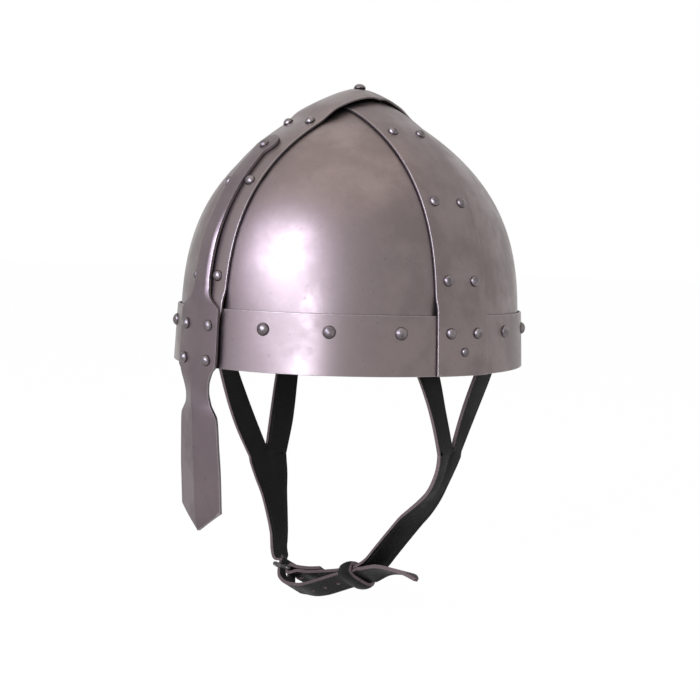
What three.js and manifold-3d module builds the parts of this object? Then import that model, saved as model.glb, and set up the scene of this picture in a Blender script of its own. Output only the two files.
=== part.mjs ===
// A spangenhelm: four steel plates under two crossed bands and a brow band, with a nose guard,
// a leather liner and a forked leather chin strap that buckles at the wearer's right.
// Millimetres, +Z up. The face looks along -Y and the wearer's left is +X.
// The origin is the middle of the bowl's rim.
import * as THREE from "three";
import { mergeVertices } from "three/addons/utils/BufferGeometryUtils.js";
import Module from "manifold-3d";

const wasm = await Module();
wasm.setup();

// Driving dimensions of the bowl
const rimHalfLength = 115.6;
const rimHalfWidth = 103.4;
const bowlHeight = 165;
const sheet = 1.5;
const layerGap = 0.3;
const bandGap = 0.45;
const browHeight = 34;
const browFlareWidth = 1.75;
const footStep = 10;
const footClear = 2;
const plateBottom = 9;
const plateLap = 3.5;
const plateCrown = 13;
const crestWidth = 34;
const sideWidth = 37;
const sideForward = 5.5;
const crownRamp = 16;
const crownGap = 1.2;
const crownClear = 6;
// The powers of the bowl's plan and rise, and how sharp its crown is
const planPowerShare = 1.95;
const risePowerShare = 3.4;
const crownPowerShare = 1.13;
// Where the bowl's side turns over to its crown, as a share of its height
const shoulderShare = 0.7;

// Driving dimensions of the nose guard
const guardSheet = 1.8;
const guardDepth = 96;
const guardCornerRise = 13;
const guardCrease = 4;
const guardStandOff = 2.1;
const guardHalfWidth = 19;
const stemHalfWidth = 6.2;
const stemLength = 151;
const tipRivetBack = 12.6;

// Driving dimensions of the rivets
const rivetHead = 3.3;
const rivetRise = 2.3;
const rivetShank = 1.7;
const rivetTail = 2.7;
const rivetTailRise = 0.9;
const rivetSeat = 0.15;
const holeGap = 0.25;
const pairHalf = 10;
// The heights of the bands' pairs of rivets, as shares of the bowl's
const crestPairShares = [0.315, 0.642, 0.867];
const sidePairShares = [0.324, 0.591, 0.836];
const browRivetHeight = 24;
const lowRivetHeight = 4.3;
const footRivetHeight = 13.5;
const smallHeadShare = 0.82;

// Driving dimensions of the liner
const linerLeather = 2;
const linerBottom = 14;
// The liner stops this far below the tails of the lowest pairs of rivets
const linerClear = 7.275;
const linerTongues = 8;
const tongueRoot = 56;
const tongueEnd = 12;
const crownRing = 30;
const crownRingHeight = 112;
const laceRadius = 1.3;
const hemWall = 1.7;
const hemGap = 1.1;

// Driving dimensions of the chin strap
const strapWidth = 16;
const strapLeather = 2.2;
const strapDrop = 160;
const strapTop = 33;
const strapRivetHeight = 24;
const splitGap = 0.5;
const strapGap = 0.55;
const strapSag = 8;
const buckleBar = 1.4;
const buckleLength = 16;
const buckleGap = 0.8;
const tongueBar = 0.9;
const barGap = 0.25;
const tongueSlot = 4.4;
const foldLength = 32;
const holeRadius = 1.5;
const holeSpacing = 12;
const keeperLength = 10;
const keeperWall = 1.9;
const keeperGap = 0.9;
const keeperBack = 66;

// Sizes that follow
const browStack = browFlareWidth + sheet + layerGap;
const plateHalfLength = rimHalfLength - browStack;
const plateHalfWidth = rimHalfWidth - browStack;
const crestHalf = crestWidth / 2;
const sideHalf = sideWidth / 2;
const linerOuter = sheet + layerGap;
const lowestPairShare = Math.min(crestPairShares[0], sidePairShares[0]);
const linerTop = lowestPairShare * bowlHeight - rivetTail - linerClear;
const linerInner = linerOuter + linerLeather;
const legMiddle = linerInner + 2 * layerGap + strapLeather / 2;

const smooth = (t) => THREE.MathUtils.smoothstep(t, 0, 1);
const power = (value, exponent) => Math.max(value, 0) ** exponent;

// Materials
function metal(color, roughness) {
  return new THREE.MeshStandardMaterial({ color, roughness, metalness: 1, flatShading: true });
}

function leather(color) {
  return new THREE.MeshStandardMaterial({ color, roughness: 0.6, metalness: 0, flatShading: true });
}
const steel = metal(0x9a9093, 0.34);
const rivetSteel = metal(0xa9a3a4, 0.3);
const buckleSteel = metal(0x3a3532, 0.45);
const strapHide = leather(0x1a1614);
const linerHide = leather(0x3b2a1e);

// The bowl's plates, as a surface: the share of the rim's size that is left at a height, and back
function shareAt(height) {
  return power(1 - (height / bowlHeight) ** risePowerShare, 1 / crownPowerShare);
}

function heightAt(share) {
  return bowlHeight * power(1 - share ** crownPowerShare, 1 / risePowerShare);
}

// The way out of the plates' surface at a point
function normalAt(point) {
  const x = Math.abs(point.x) / plateHalfWidth;
  const y = Math.abs(point.y) / plateHalfLength;
  const oval = power(x ** planPowerShare + y ** planPowerShare, 1 / planPowerShare);
  const share = Math.max(oval, Number.EPSILON);
  const steep = crownPowerShare * share ** (crownPowerShare - planPowerShare);
  return new THREE.Vector3(
    (Math.sign(point.x) * steep * x ** (planPowerShare - 1)) / plateHalfWidth,
    (Math.sign(point.y) * steep * y ** (planPowerShare - 1)) / plateHalfLength,
    (risePowerShare * (point.z / bowlHeight) ** (risePowerShare - 1)) / bowlHeight,
  ).normalize();
}

function lifted(point, offset) {
  return point.clone().addScaledVector(normalAt(point), offset);
}

// A point of an oval of the bowl's plan, at an angle from the front towards the wearer's left
function ovalPoint(halfWidth, halfLength, angle, height) {
  const rounded = (value) => Math.sign(value) * Math.abs(value) ** (2 / planPowerShare);
  const [left, back] = [rounded(Math.sin(angle)), -rounded(Math.cos(angle))];
  return new THREE.Vector3(halfWidth * left, halfLength * back, height);
}

function plateSurface(share, angle) {
  return ovalPoint(plateHalfWidth * share, plateHalfLength * share, angle, heightAt(share));
}

// The two ways that a band runs over the bowl, each from one rim to the other
const overCrest = {
  half: plateHalfLength,
  acrossHalf: plateHalfWidth,
  place: (along, across, height) => new THREE.Vector3(across, along, height),
};
const overSides = {
  half: plateHalfWidth,
  acrossHalf: plateHalfLength,
  place: (along, across, height) => new THREE.Vector3(along, across, height),
};

// A point under a band: row is its side (-1 or 1) and the share of the rim where the band's middle is
function bandPoint(way, row, across) {
  const aside = (Math.abs(across) / way.acrossHalf) ** planPowerShare;
  const middle = row.share ** planPowerShare;
  const share = power(middle + aside * (1 - middle), 1 / planPowerShare);
  const along = row.side * way.half * row.share * power(1 - aside, 1 / planPowerShare);
  return way.place(along, across, heightAt(share));
}

// The meridian of a band, measured from the rim to the crown in even steps
function meridian(way) {
  const steps = 200;
  const shoulder = shoulderShare * bowlHeight;
  const shares = [...Array(steps).keys()].map((i) => shareAt((i / steps) * shoulder));
  for (let i = 0; i <= steps; i++) shares.push(shareAt(shoulder) * (1 - i / steps));
  const table = [{ share: 1, length: 0 }];
  for (const share of shares.slice(1)) {
    const last = table.at(-1);
    const run = way.half * (last.share - share);
    const rise = heightAt(share) - heightAt(last.share);
    table.push({ share, length: last.length + Math.hypot(run, rise) });
  }
  return table;
}
overCrest.table = meridian(overCrest);
overSides.table = meridian(overSides);

function shareAlong(way, length) {
  const table = way.table;
  const within = Math.min(length, table.at(-1).length);
  const next = Math.max(table.findIndex((entry) => entry.length >= within), 1);
  const [a, b] = [table[next - 1], table[next]];
  return Math.max(THREE.MathUtils.mapLinear(length, a.length, b.length, a.share, b.share), 0);
}

function bandRows(way, halfSteps) {
  const whole = way.table.at(-1).length;
  const steps = [...Array(halfSteps + 1).keys()];
  const front = steps.map((i) => ({ side: -1, share: i ? shareAlong(way, (whole * i) / halfSteps) : 1 }));
  const rear = front.slice(0, -1).reverse().map((row) => ({ side: 1, share: row.share }));
  return [...front, ...rear];
}

// Solids
// A closed solid between the two faces of a sheet, each a grid of points
// A ring joins its last row to its first
function sheetSolid(outer, inner, ring = false) {
  const rows = outer.length;
  const columns = outer[0].length;
  const at = (face, i, j) => (face * rows + (i % rows)) * columns + j;
  const triangles = [];
  const quad = (a, b, c, d) => triangles.push(a, b, c, a, c, d);
  const last = columns - 1;
  for (let i = 0; i < (ring ? rows : rows - 1); i++) {
    for (let j = 0; j < last; j++) {
      quad(at(0, i, j), at(0, i + 1, j), at(0, i + 1, j + 1), at(0, i, j + 1));
      quad(at(1, i, j), at(1, i, j + 1), at(1, i + 1, j + 1), at(1, i + 1, j));
    }
    quad(at(0, i, 0), at(1, i, 0), at(1, i + 1, 0), at(0, i + 1, 0));
    quad(at(0, i + 1, last), at(1, i + 1, last), at(1, i, last), at(0, i, last));
  }
  for (let j = 0; !ring && j < last; j++) {
    quad(at(0, 0, j), at(0, 0, j + 1), at(1, 0, j + 1), at(1, 0, j));
    quad(at(0, rows - 1, j + 1), at(0, rows - 1, j), at(1, rows - 1, j), at(1, rows - 1, j + 1));
  }
  const points = [...outer.flat(), ...inner.flat()].flatMap((p) => p.toArray());
  const [p0, p1, p2] = [outer[0][0], outer[1][0], outer[0][1]];
  const facing = new THREE.Vector3().crossVectors(p1.clone().sub(p0), p2.clone().sub(p0));
  if (facing.dot(p0.clone().sub(inner[0][0])) < 0) triangles.reverse();
  return solidFrom(new Float32Array(points), new Uint32Array(triangles));
}

function solidFrom(vertProperties, triVerts) {
  return new wasm.Manifold(new wasm.Mesh({ numProp: 3, vertProperties, triVerts }));
}

function solidOf(geometry, matrix = new THREE.Matrix4()) {
  const bare = geometry.index ? geometry.toNonIndexed() : geometry.clone();
  bare.deleteAttribute("normal");
  bare.deleteAttribute("uv");
  const merged = mergeVertices(bare.applyMatrix4(matrix));
  return solidFrom(merged.attributes.position.array, new Uint32Array(merged.index.array));
}

function geometryOf(solid) {
  const mesh = solid.getMesh();
  const geometry = new THREE.BufferGeometry();
  geometry.setAttribute("position", new THREE.BufferAttribute(mesh.vertProperties, 3));
  geometry.setIndex(new THREE.BufferAttribute(mesh.triVerts, 1));
  return geometry;
}

const bar = (radius, length, sides = 8) => new THREE.CylinderGeometry(radius, radius, length, sides);
const upAxis = new THREE.Vector3(0, 1, 0);

// Where a geometry made along Y goes when its Y turns to a direction
function along(direction, place) {
  const turn = new THREE.Quaternion().setFromUnitVectors(upAxis, direction.clone().normalize());
  return new THREE.Matrix4().compose(place, turn, new THREE.Vector3(1, 1, 1));
}

// The sheets of the helmet, kept as solids until every rivet hole is known
const helmet = new THREE.Group();
const pieces = new Map();
const holes = new Map();

function addPiece(name, solid, material) {
  pieces.set(name, { solid, material });
  holes.set(name, []);
}

// Four plates, each tucked under the crest band on one side and the side band on the other
function plate(front, left) {
  const crestEdge = plateLap / plateHalfWidth;
  const sideEdge = (plateLap + front * sideForward) / plateHalfLength;
  const levels = 13;
  const columns = 15;
  const start = overCrest.table.find((entry) => heightAt(entry.share) >= plateBottom).length;
  const end = overCrest.table.at(-1).length - plateCrown;
  const grid = (offset) =>
    [...Array(levels).keys()].map((i) => {
      const share = shareAlong(overCrest, THREE.MathUtils.lerp(start, end, i / (levels - 1)));
      const from = Math.asin((crestEdge / share) ** (planPowerShare / 2));
      const to = Math.acos(Math.sign(sideEdge) * Math.abs(sideEdge / share) ** (planPowerShare / 2));
      return [...Array(columns).keys()].map((j) => {
        const point = plateSurface(share, THREE.MathUtils.lerp(from, to, j / (columns - 1)));
        const out = lifted(point, offset);
        return new THREE.Vector3(left * out.x, front * out.y, out.z);
      });
    });
  return sheetSolid(grid(0), grid(-sheet));
}

for (const [frontName, front] of [["front", 1], ["rear", -1]]) {
  for (const [leftName, left] of [["left", 1], ["right", -1]]) {
    addPiece(`dome_plate_${frontName}_${leftName}`, plate(front, left), steel);
  }
}

// The brow band: a welded ring round the foot of the bowl
function browHalf(half, height) {
  return half - (browFlareWidth * height) / browHeight;
}

function browPoint(angle, height, offset) {
  const halfLength = browHalf(rimHalfLength, height);
  const halfWidth = browHalf(rimHalfWidth, height);
  const point = ovalPoint(halfWidth, halfLength, angle, height);
  const x = Math.abs(point.x / halfWidth) ** (planPowerShare - 1);
  const y = Math.abs(point.y / halfLength) ** (planPowerShare - 1);
  const out = [(Math.sign(point.x) * x) / halfWidth, (Math.sign(point.y) * y) / halfLength];
  return point.addScaledVector(new THREE.Vector3(...out, 0).normalize(), offset);
}

function browBand() {
  const steps = 60;
  const grid = (offset) =>
    [...Array(steps).keys()].map((i) => {
      const angle = (i / steps) * 2 * Math.PI;
      return [0, browHeight].map((height) => browPoint(angle, height, offset));
    });
  return sheetSolid(grid(0), grid(-sheet), true);
}
addPiece("brow_band", browBand(), steel);

// How far the outer face of the brow band stands off the plates' surface
function browFace(way, height) {
  const flare = browFlareWidth * (1 - height / browHeight);
  return flare + sheet + layerGap + way.half * (1 - shareAt(height)) - bandGap + layerGap;
}

// The inner face of a band's foot runs over the brow band and steps down to the plates above it
function footFace(way, height) {
  const over = browFace(way, Math.min(height, browHeight));
  return bandGap + over * (1 - smooth((height - browHeight - footClear) / footStep));
}

function crestFace(point) {
  const beyond = Math.abs(point.y + sideForward) - sideHalf - crownClear;
  const overSideBand = (crownGap + sheet) * (1 - smooth(beyond / crownRamp));
  return footFace(overCrest, point.z) + overSideBand;
}

function sideFace(point) {
  return footFace(overSides, point.z);
}

function band(way, face, width, middle) {
  const acrossShares = [-0.5, -0.3, -0.1, 0.1, 0.3, 0.5];
  const grid = (offset) =>
    bandRows(way, 29).map((row) =>
      acrossShares.map((share) => {
        const point = bandPoint(way, row, middle + share * width);
        return lifted(point, face(point) + offset);
      }),
    );
  return sheetSolid(grid(sheet), grid(0));
}
addPiece("crest_band", band(overCrest, crestFace, crestWidth, 0), steel);
addPiece("side_band", band(overSides, sideFace, sideWidth, -sideForward), steel);

// The nose guard: a stem up the front of the crest band, a plate on the brow and a creased guard below
function guardFace(point) {
  const rise = smooth((point.z - browHeight) / footStep);
  const fall = 1 - smooth((point.z - 2 * browHeight) / browHeight);
  return crestFace(point) + sheet + layerGap + guardStandOff * rise * fall;
}

// Half widths as shares of the guard's, at shares of its depth below the rim
const guardWidthShares = [
  [-1, 1], [-0.646, 1], [-0.458, 0.95], [-0.344, 0.92], [-0.296, 0.885], [-0.255, 0.74],
  [-0.219, 0.61], [-0.16, 0.553], [-0.1, 0.61], [-0.052, 0.72], [-0.019, 0.8],
];
// Half widths at shares of the stem's length above the rim, up to where the stem runs straight
const browWidthShares = [
  [0, 0.85], [0.03, 0.885], [0.18, 0.87], [0.212, 0.875], [0.229, 0.8], [0.246, 0.63],
  [0.266, 0.47], [0.293, 0.37], [0.331, 0.33],
];
// The round end of the stem: shares of its half width back from the end, and across
const tipWidthShares = [
  [2.7, 1], [2.2, 0.96], [1.75, 0.76], [1.35, 0.92], [1, 1],
  [0.65, 0.94], [0.3, 0.71], [0.08, 0.39], [0, 0.12],
];
// How far the crease stands back from the plate at the rim, as shares of the crease, at shares of the depth
const guardLeanShares = [
  [0, 0], [0.125, -0.18], [0.17, -0.22], [0.32, 0.03], [0.48, 0.23], [0.69, 0.55], [0.9, 0.88], [1, 1.4],
];
// The depth where the bow of the brow has turned to the crease of the guard, as a share of its depth
const guardFoldShare = 0.219;
const guardColumnShares = [-1, -0.5, 0, 0.5, 1];
const stemSteps = 16;

function shareTable(table, at) {
  const next = Math.max(table.findIndex((entry) => entry[0] >= at), 1);
  const [a, b] = [table[next - 1], table[next]];
  return THREE.MathUtils.mapLinear(at, a[0], b[0], a[1], b[1]);
}

function guardRows() {
  const lower = guardWidthShares.map(([depth, width], i) => ({
    height: i ? depth * guardDepth : guardCornerRise - guardDepth,
    point: i ? 0 : guardCornerRise,
    half: width * guardHalfWidth,
  }));
  const brow = browWidthShares.map(([up, width]) => ({
    length: up * stemLength,
    half: width * guardHalfWidth,
  }));
  const from = brow.at(-1).length;
  const to = stemLength - tipWidthShares[0][0] * stemHalfWidth;
  const stem = [...Array(stemSteps).keys()].map((i) => ({
    length: THREE.MathUtils.lerp(from, to, (i + 1) / (stemSteps + 1)),
    half: stemHalfWidth,
  }));
  const tip = tipWidthShares.map(([back, width]) => ({
    length: stemLength - back * stemHalfWidth,
    half: width * stemHalfWidth,
  }));
  return [...lower, ...brow, ...stem, ...tip];
}

function stemPoint(length, across, offset) {
  const row = { side: -1, share: length ? shareAlong(overCrest, length) : 1 };
  const point = bandPoint(overCrest, row, across);
  return lifted(point, guardFace(point) + offset);
}

function guardPoint(row, share, offset) {
  const across = share * row.half;
  if (row.length !== undefined) return stemPoint(row.length, across, offset);
  const height = row.height - row.point * (1 - Math.abs(share));
  const depth = -height / guardDepth;
  const folded = smooth(depth / guardFoldShare);
  const middle = stemPoint(0, 0, 0).y;
  const bowed = stemPoint(0, across, 0).y - middle;
  const creased = guardCrease * Math.abs(share);
  const lean = guardCrease * shareTable(guardLeanShares, depth);
  const y = middle + lean + THREE.MathUtils.lerp(bowed, creased, folded);
  const slope = THREE.MathUtils.lerp(2 * bowed, creased, folded) / row.half;
  const out = new THREE.Vector3(Math.sign(share) * slope, -1, 0).normalize();
  return new THREE.Vector3(across, y, height).addScaledVector(out, offset);
}

function noseGuard() {
  const grid = (offset) =>
    guardRows().map((row) => guardColumnShares.map((share) => guardPoint(row, share, offset)));
  return sheetSolid(grid(guardSheet), grid(0));
}
addPiece("nasal_guard", noseGuard(), steel);

// The liner: a leather band inside the bowl with tongues that lean in to a lace ring over the head
function linerPoint(angle, height, offset) {
  return lifted(plateSurface(shareAt(height), angle), offset);
}

function linerTongue(angle) {
  const rows = 5;
  const columnShares = [-0.5, 0, 0.5];
  const out = new THREE.Vector3(Math.sin(angle), -Math.cos(angle), 0);
  const beside = new THREE.Vector3(Math.cos(angle), Math.sin(angle), 0);
  const end = out.clone().multiplyScalar(crownRing + laceRadius + hemGap + hemWall / 2);
  end.z = crownRingHeight;
  const spread = (2 * tongueRoot) / (plateHalfWidth + plateHalfLength);
  const middle = -(linerOuter + linerInner) / 2;
  const root = (share) => linerPoint(angle + share * spread, linerTop - linerLeather, middle);
  const faces = [[], []];
  for (let i = 0; i < rows; i++) {
    const t = i / (rows - 1);
    for (const face of faces) face.push([]);
    for (const share of columnShares) {
      const point = root(share).lerp(end.clone().addScaledVector(beside, share * tongueEnd), t);
      const slope = root(0).sub(end).normalize();
      const up = new THREE.Vector3().crossVectors(beside, slope).normalize();
      faces[0][i].push(point.clone().addScaledVector(up, linerLeather / 2));
      faces[1][i].push(point.clone().addScaledVector(up, -linerLeather / 2));
    }
  }
  const hem = bar(laceRadius + hemGap + hemWall, tongueEnd, 10);
  const bore = bar(laceRadius + hemGap, tongueEnd * 2, 8);
  const place = along(beside, out.clone().multiplyScalar(crownRing).setZ(crownRingHeight));
  return sheetSolid(...faces).add(solidOf(hem, place)).subtract(solidOf(bore, place));
}

function liner() {
  const steps = 48;
  const grid = (offset) =>
    [...Array(steps).keys()].map((i) => {
      const angle = (i / steps) * 2 * Math.PI;
      const heights = [linerBottom, (linerBottom + linerTop) / 2, linerTop];
      return heights.map((height) => linerPoint(angle, height, -offset));
    });
  let solid = sheetSolid(grid(linerOuter), grid(linerInner), true);
  for (let i = 0; i < linerTongues; i++) {
    solid = solid.add(linerTongue(((i + 0.5) / linerTongues) * 2 * Math.PI));
  }
  return solid;
}
addPiece("liner", liner(), linerHide);

function laceRing() {
  const ring = new THREE.TorusGeometry(crownRing, laceRadius, 6, 32);
  return solidOf(ring, new THREE.Matrix4().makeTranslation(0, 0, crownRingHeight));
}
addPiece("liner_lace", laceRing(), strapHide);

// The chin strap's route, from the left fork over the chin to the right fork: x in shares of the
// rim's half width, y and z in shares of the strap's drop, then how far the strap is turned about
// its run, in shares of a whole turn
const leftRouteShares = [
  [0.8665, 0.006, -0.297, -0.036], [0.8511, -0.008, -0.375, -0.046], [0.7938, -0.009, -0.45, -0.005],
  [0.6963, -0.01, -0.516, 0.035], [0.5896, -0.005, -0.578, 0.065], [0.4162, 0, -0.697, 0.075],
  [0.2569, 0.002, -0.806, 0.085], [0.0774, 0.006, -0.865, 0.105], [-0.147, 0.012, -0.91, 0.11],
  [-0.3404, 0.018, -0.937, 0.095], [-0.4952, 0.022, -0.945, 0.085],
];
const rightRouteShares = [
  [-0.6499, 0.026, -0.945, 0.085], [-0.6932, 0.028, -0.898, 0.05], [-0.735, 0.036, -0.794, 0.02],
  [-0.7783, 0.039, -0.69, 0], [-0.817, 0.033, -0.575, 0], [-0.8387, 0.017, -0.475, 0],
];
const routeShares = [...leftRouteShares, ...rightRouteShares];
const chinSpan = new THREE.Vector3(rimHalfWidth, strapDrop, strapDrop);
const routePoints = routeShares.map(([x, y, z]) => new THREE.Vector3(x, y, z).multiply(chinSpan));
const route = new THREE.CatmullRomCurve3(routePoints, false, "catmullrom", 0.5);
const turns = new THREE.CatmullRomCurve3(routeShares.map((entry) => new THREE.Vector3(entry[3], 0, 0)));
const stepCount = 50;
route.arcLengthDivisions = stepCount * (routeShares.length - 1);
const routeLength = route.getLength();
// The buckle's heel bar lies where the left part of the route ends
const heelLength = route.getLengths()[stepCount * (leftRouteShares.length - 1)];

// The strap's place and directions at a distance past the buckle's heel bar, towards the right fork
function strapFrame(distance) {
  const t = route.getUtoTmapping((heelLength + distance) / routeLength);
  const run = route.getTangent(t);
  const turn = turns.getPoint(t).x * 2 * Math.PI;
  const out = new THREE.Vector3().crossVectors(run, upAxis).normalize();
  const aside = new THREE.Vector3().crossVectors(run, out);
  return {
    place: route.getPoint(t),
    run,
    across: aside.clone().multiplyScalar(Math.cos(turn)).addScaledVector(out, -Math.sin(turn)),
    out: out.clone().multiplyScalar(Math.cos(turn)).addScaledVector(aside, Math.sin(turn)),
  };
}

function strapStop(distance, lift, half = strapWidth / 2) {
  const frame = strapFrame(distance);
  return { place: frame.place.addScaledVector(frame.out, lift), half: frame.across.multiplyScalar(half) };
}

// A strap through stops, each a place and its half width as a vector
function ribbon(stops, steps) {
  const middle = new THREE.CatmullRomCurve3(stops.map((stop) => stop.place), false, "centripetal");
  const faces = [[], []];
  for (let i = 0; i <= steps; i++) {
    const t = (i / steps) * (stops.length - 1);
    const run = middle.getTangent(t / (stops.length - 1));
    const [a, b] = [stops[Math.floor(t)], stops[Math.min(Math.floor(t) + 1, stops.length - 1)]];
    const half = a.half.clone().lerp(b.half, t - Math.floor(t));
    const wide = half.length();
    half.addScaledVector(run, -half.dot(run)).setLength(wide);
    const out = new THREE.Vector3().crossVectors(half, run).setLength(strapLeather / 2);
    const place = middle.getPoint(t / (stops.length - 1));
    faces[0].push([-1, 1].map((side) => place.clone().addScaledVector(half, side).add(out)));
    faces[1].push([-1, 1].map((side) => place.clone().addScaledVector(half, side).sub(out)));
  }
  return sheetSolid(...faces);
}

// A fork: a sheet that hangs from inside the liner, cut to two legs that meet at a notch
// Each outline point is y and z, as shares of the strap's drop
const forkShares = {
  left: [
    [-0.26, 0.206], [-0.184, 0], [-0.135, -0.13], [-0.088, -0.265], [-0.08, -0.33], [0.094, -0.33],
    [0.1, -0.265], [0.155, -0.13], [0.216, 0], [0.29, 0.206], [0.19, 0.206], [0.103, 0], [0.055, -0.13],
    [0.011, -0.285], [-0.056, -0.13], [-0.096, 0], [-0.165, 0.206],
  ],
  right: [
    [-0.36, 0.206], [-0.279, 0], [-0.128, -0.37], [-0.066, -0.51], [0.1, -0.51], [0.128, -0.431],
    [0.199, 0], [0.245, 0.206], [0.137, 0.206], [0.1, 0], [0.008, -0.435], [-0.179, 0], [-0.25, 0.206],
  ],
};

function forkSheet(side, end) {
  const lowest = end.place.z - splitGap - 2 * strapLeather;
  const steps = 10;
  const columnSteps = 16;
  const widest = 0.4 * strapDrop;
  const faces = [[], []];
  for (let i = 0; i <= steps; i++) {
    const height = THREE.MathUtils.lerp(strapTop, lowest, i / steps);
    for (const face of faces) face.push([]);
    for (let j = 0; j <= columnSteps; j++) {
      const y = THREE.MathUtils.lerp(-widest, widest, j / columnSteps);
      const row = { side, share: shareAt(Math.max(height, 0)) };
      const held = bandPoint(overSides, row, y);
      const hung = Math.max(-height, 0) / -end.place.z;
      const out = normalAt(held);
      const inside = held.x - legMiddle / out.x;
      const turned = end.place.x + (end.across.x / end.across.y) * (y - end.place.y);
      const point = new THREE.Vector3(THREE.MathUtils.lerp(inside, turned, hung), y, height);
      out.lerp(end.out, hung).setLength(strapLeather / 2);
      faces[0][i].push(point.clone().add(out));
      faces[1][i].push(point.clone().sub(out));
    }
  }
  return sheetSolid(...faces);
}

function fork(sideName, side) {
  const end = strapFrame(side > 0 ? -heelLength : routeLength - heelLength);
  const outline = forkShares[sideName].map(([y, z]) => new THREE.Vector2(y, z).multiplyScalar(strapDrop));
  const shape = new THREE.Shape(outline);
  const cutReach = rimHalfWidth + strapDrop;
  const cutter = new THREE.ExtrudeGeometry(shape, { depth: cutReach, bevelEnabled: false });
  // The outline's own x and y become the helmet's y and z
  const turn = new THREE.Matrix4().makeBasis(
    new THREE.Vector3(0, 1, 0), new THREE.Vector3(0, 0, 1), new THREE.Vector3(1, 0, 0),
  );
  if (side < 0) turn.premultiply(new THREE.Matrix4().makeTranslation(-cutReach, 0, 0));
  const up = end.run.clone().multiplyScalar(-side);
  return forkSheet(side, end).intersect(solidOf(cutter, turn)).trimByPlane(up.toArray(), up.dot(end.place));
}
addPiece("left_strap_fork", fork("left", 1), strapHide);
addPiece("right_strap_fork", fork("right", -1), strapHide);

// The wearer's left strap ends in a fold round the buckle's heel bar, slotted for the tongue
const foldMiddle = buckleBar + barGap + strapLeather / 2;
const foldLift = strapLeather + strapGap;

// How the straps taper below the forks: shares of the strap's drop down, and of its width
const leftTaperShares = [[0, 1.72], [0.08, 1.35], [0.17, 1.12], [0.25, 1]];
const rightTaperShares = [[0, 1.64], [0.085, 1.6], [0.16, 1.3], [0.25, 1.1], [0.33, 1]];

function taperStops(shares, from, way) {
  return shares.map(([down, wide]) => strapStop(from + way * down * strapDrop, 0, (wide * strapWidth) / 2));
}

function leftStrap() {
  const top = -heelLength + splitGap;
  const from = top + leftTaperShares.at(-1)[0] * strapDrop;
  const stops = taperStops(leftTaperShares, top, 1);
  const to = -3 * foldLift;
  const runs = 12;
  for (let i = 1; i <= runs; i++) stops.push(strapStop(THREE.MathUtils.lerp(from, to, i / runs), 0));
  stops.push(strapStop(-foldLift, foldMiddle * 0.75));
  for (let i = 0; i <= 4; i++) {
    const angle = (i / 4) * Math.PI;
    const frame = strapFrame(0);
    stops.push({
      place: frame.place
        .addScaledVector(frame.run, foldMiddle * Math.sin(angle))
        .addScaledVector(frame.out, foldMiddle * Math.cos(angle)),
      half: frame.across.multiplyScalar(strapWidth / 2),
    });
  }
  stops.push(strapStop(-foldLift * 1.4, -foldMiddle));
  for (const share of [0.3, 0.65, 1]) stops.push(strapStop(-foldLength * share, -foldLift));
  return ribbon(stops, stops.length * 3);
}

function strapMatrix(frame) {
  return new THREE.Matrix4().makeBasis(frame.across, frame.run, frame.out).setPosition(frame.place);
}

function boxAt(frame, width, from, to, height) {
  const box = new THREE.BoxGeometry(width, to - from, height).translate(0, (from + to) / 2, 0);
  return solidOf(box, strapMatrix(frame));
}
const slotReach = foldMiddle + strapLeather * 2;
const leftSlot = boxAt(strapFrame(0), tongueSlot, -slotReach, slotReach, 2 * slotReach);
addPiece("left_strap", leftStrap().subtract(leftSlot), strapHide);

// The wearer's right strap goes under the front bar, over the heel bar and through the keeper to its tail
const overHeel = foldMiddle + strapLeather + 2 * strapGap;
const underFront = -(buckleBar + strapLeather / 2 + 3 * strapGap);
// Where the tail lies, in the same shares as the route, with the share of the strap's width before the turn
const tailShares = [
  [0.2631, -0.018, -0.832, 1, 0.105], [0.3868, -0.018, -0.796, 1, 0.07], [0.5106, -0.018, -0.782, 1, 0.045],
  [0.619, -0.018, -0.777, 0.55, 0.03], [0.6654, -0.018, -0.776, 0.15, 0.03],
];

// Shares of the buckle's length past the heel bar, and of the way up from under the front bar
const buckleShares = [[1.35, 0.1], [1, 0], [0.8, 0.08], [0.5, 0.5], [0.2, 0.93], [0, 1], [-0.25, 1]];
// Shares of the way from the buckle to the keeper, and of the most that the tail lies away from the strap
const sagShares = [[0.13, 0.95], [0.28, 1.2], [0.48, 0.9], [0.68, 0.35], [0.85, 0], [1, 0], [1.1, 0]];

function rightStrap() {
  const last = routeLength - heelLength - splitGap;
  const stops = taperStops(rightTaperShares, last, -1);
  const from = last - rightTaperShares.at(-1)[0] * strapDrop;
  const to = 1.9 * buckleLength;
  for (const share of [0.5, 1]) stops.push(strapStop(THREE.MathUtils.lerp(from, to, share), 0));
  for (const [past, up] of buckleShares) {
    stops.push(strapStop(past * buckleLength, THREE.MathUtils.lerp(underFront, overHeel, up)));
  }
  const beside = strapLeather + strapGap;
  for (const [share, up] of sagShares) {
    stops.push(strapStop(-keeperBack * share, Math.max(THREE.MathUtils.lerp(beside, strapSag, up), beside)));
  }
  for (const [x, y, z, width, turn] of tailShares) {
    const angle = turn * 2 * Math.PI;
    stops.push({
      place: new THREE.Vector3(x, y, z).multiply(chinSpan),
      half: new THREE.Vector3(0, -Math.cos(angle), Math.sin(angle)).multiplyScalar((width * strapWidth) / 2),
    });
  }
  return ribbon(stops, stops.length * 3);
}

function strapHoles() {
  const middle = strapFrame(0.48 * buckleLength);
  const cuts = [boxAt(middle, tongueBar * 4, -tongueBar * 4.6, tongueBar * 4.6, 2 * slotReach)];
  for (let i = 1; i <= 4; i++) {
    const frame = strapFrame(-i * holeSpacing);
    cuts.push(solidOf(bar(holeRadius, 4 * strapSag), along(frame.out, frame.place)));
  }
  return cuts;
}
addPiece("right_strap", strapHoles().reduce((solid, cut) => solid.subtract(cut), rightStrap()), strapHide);

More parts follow.
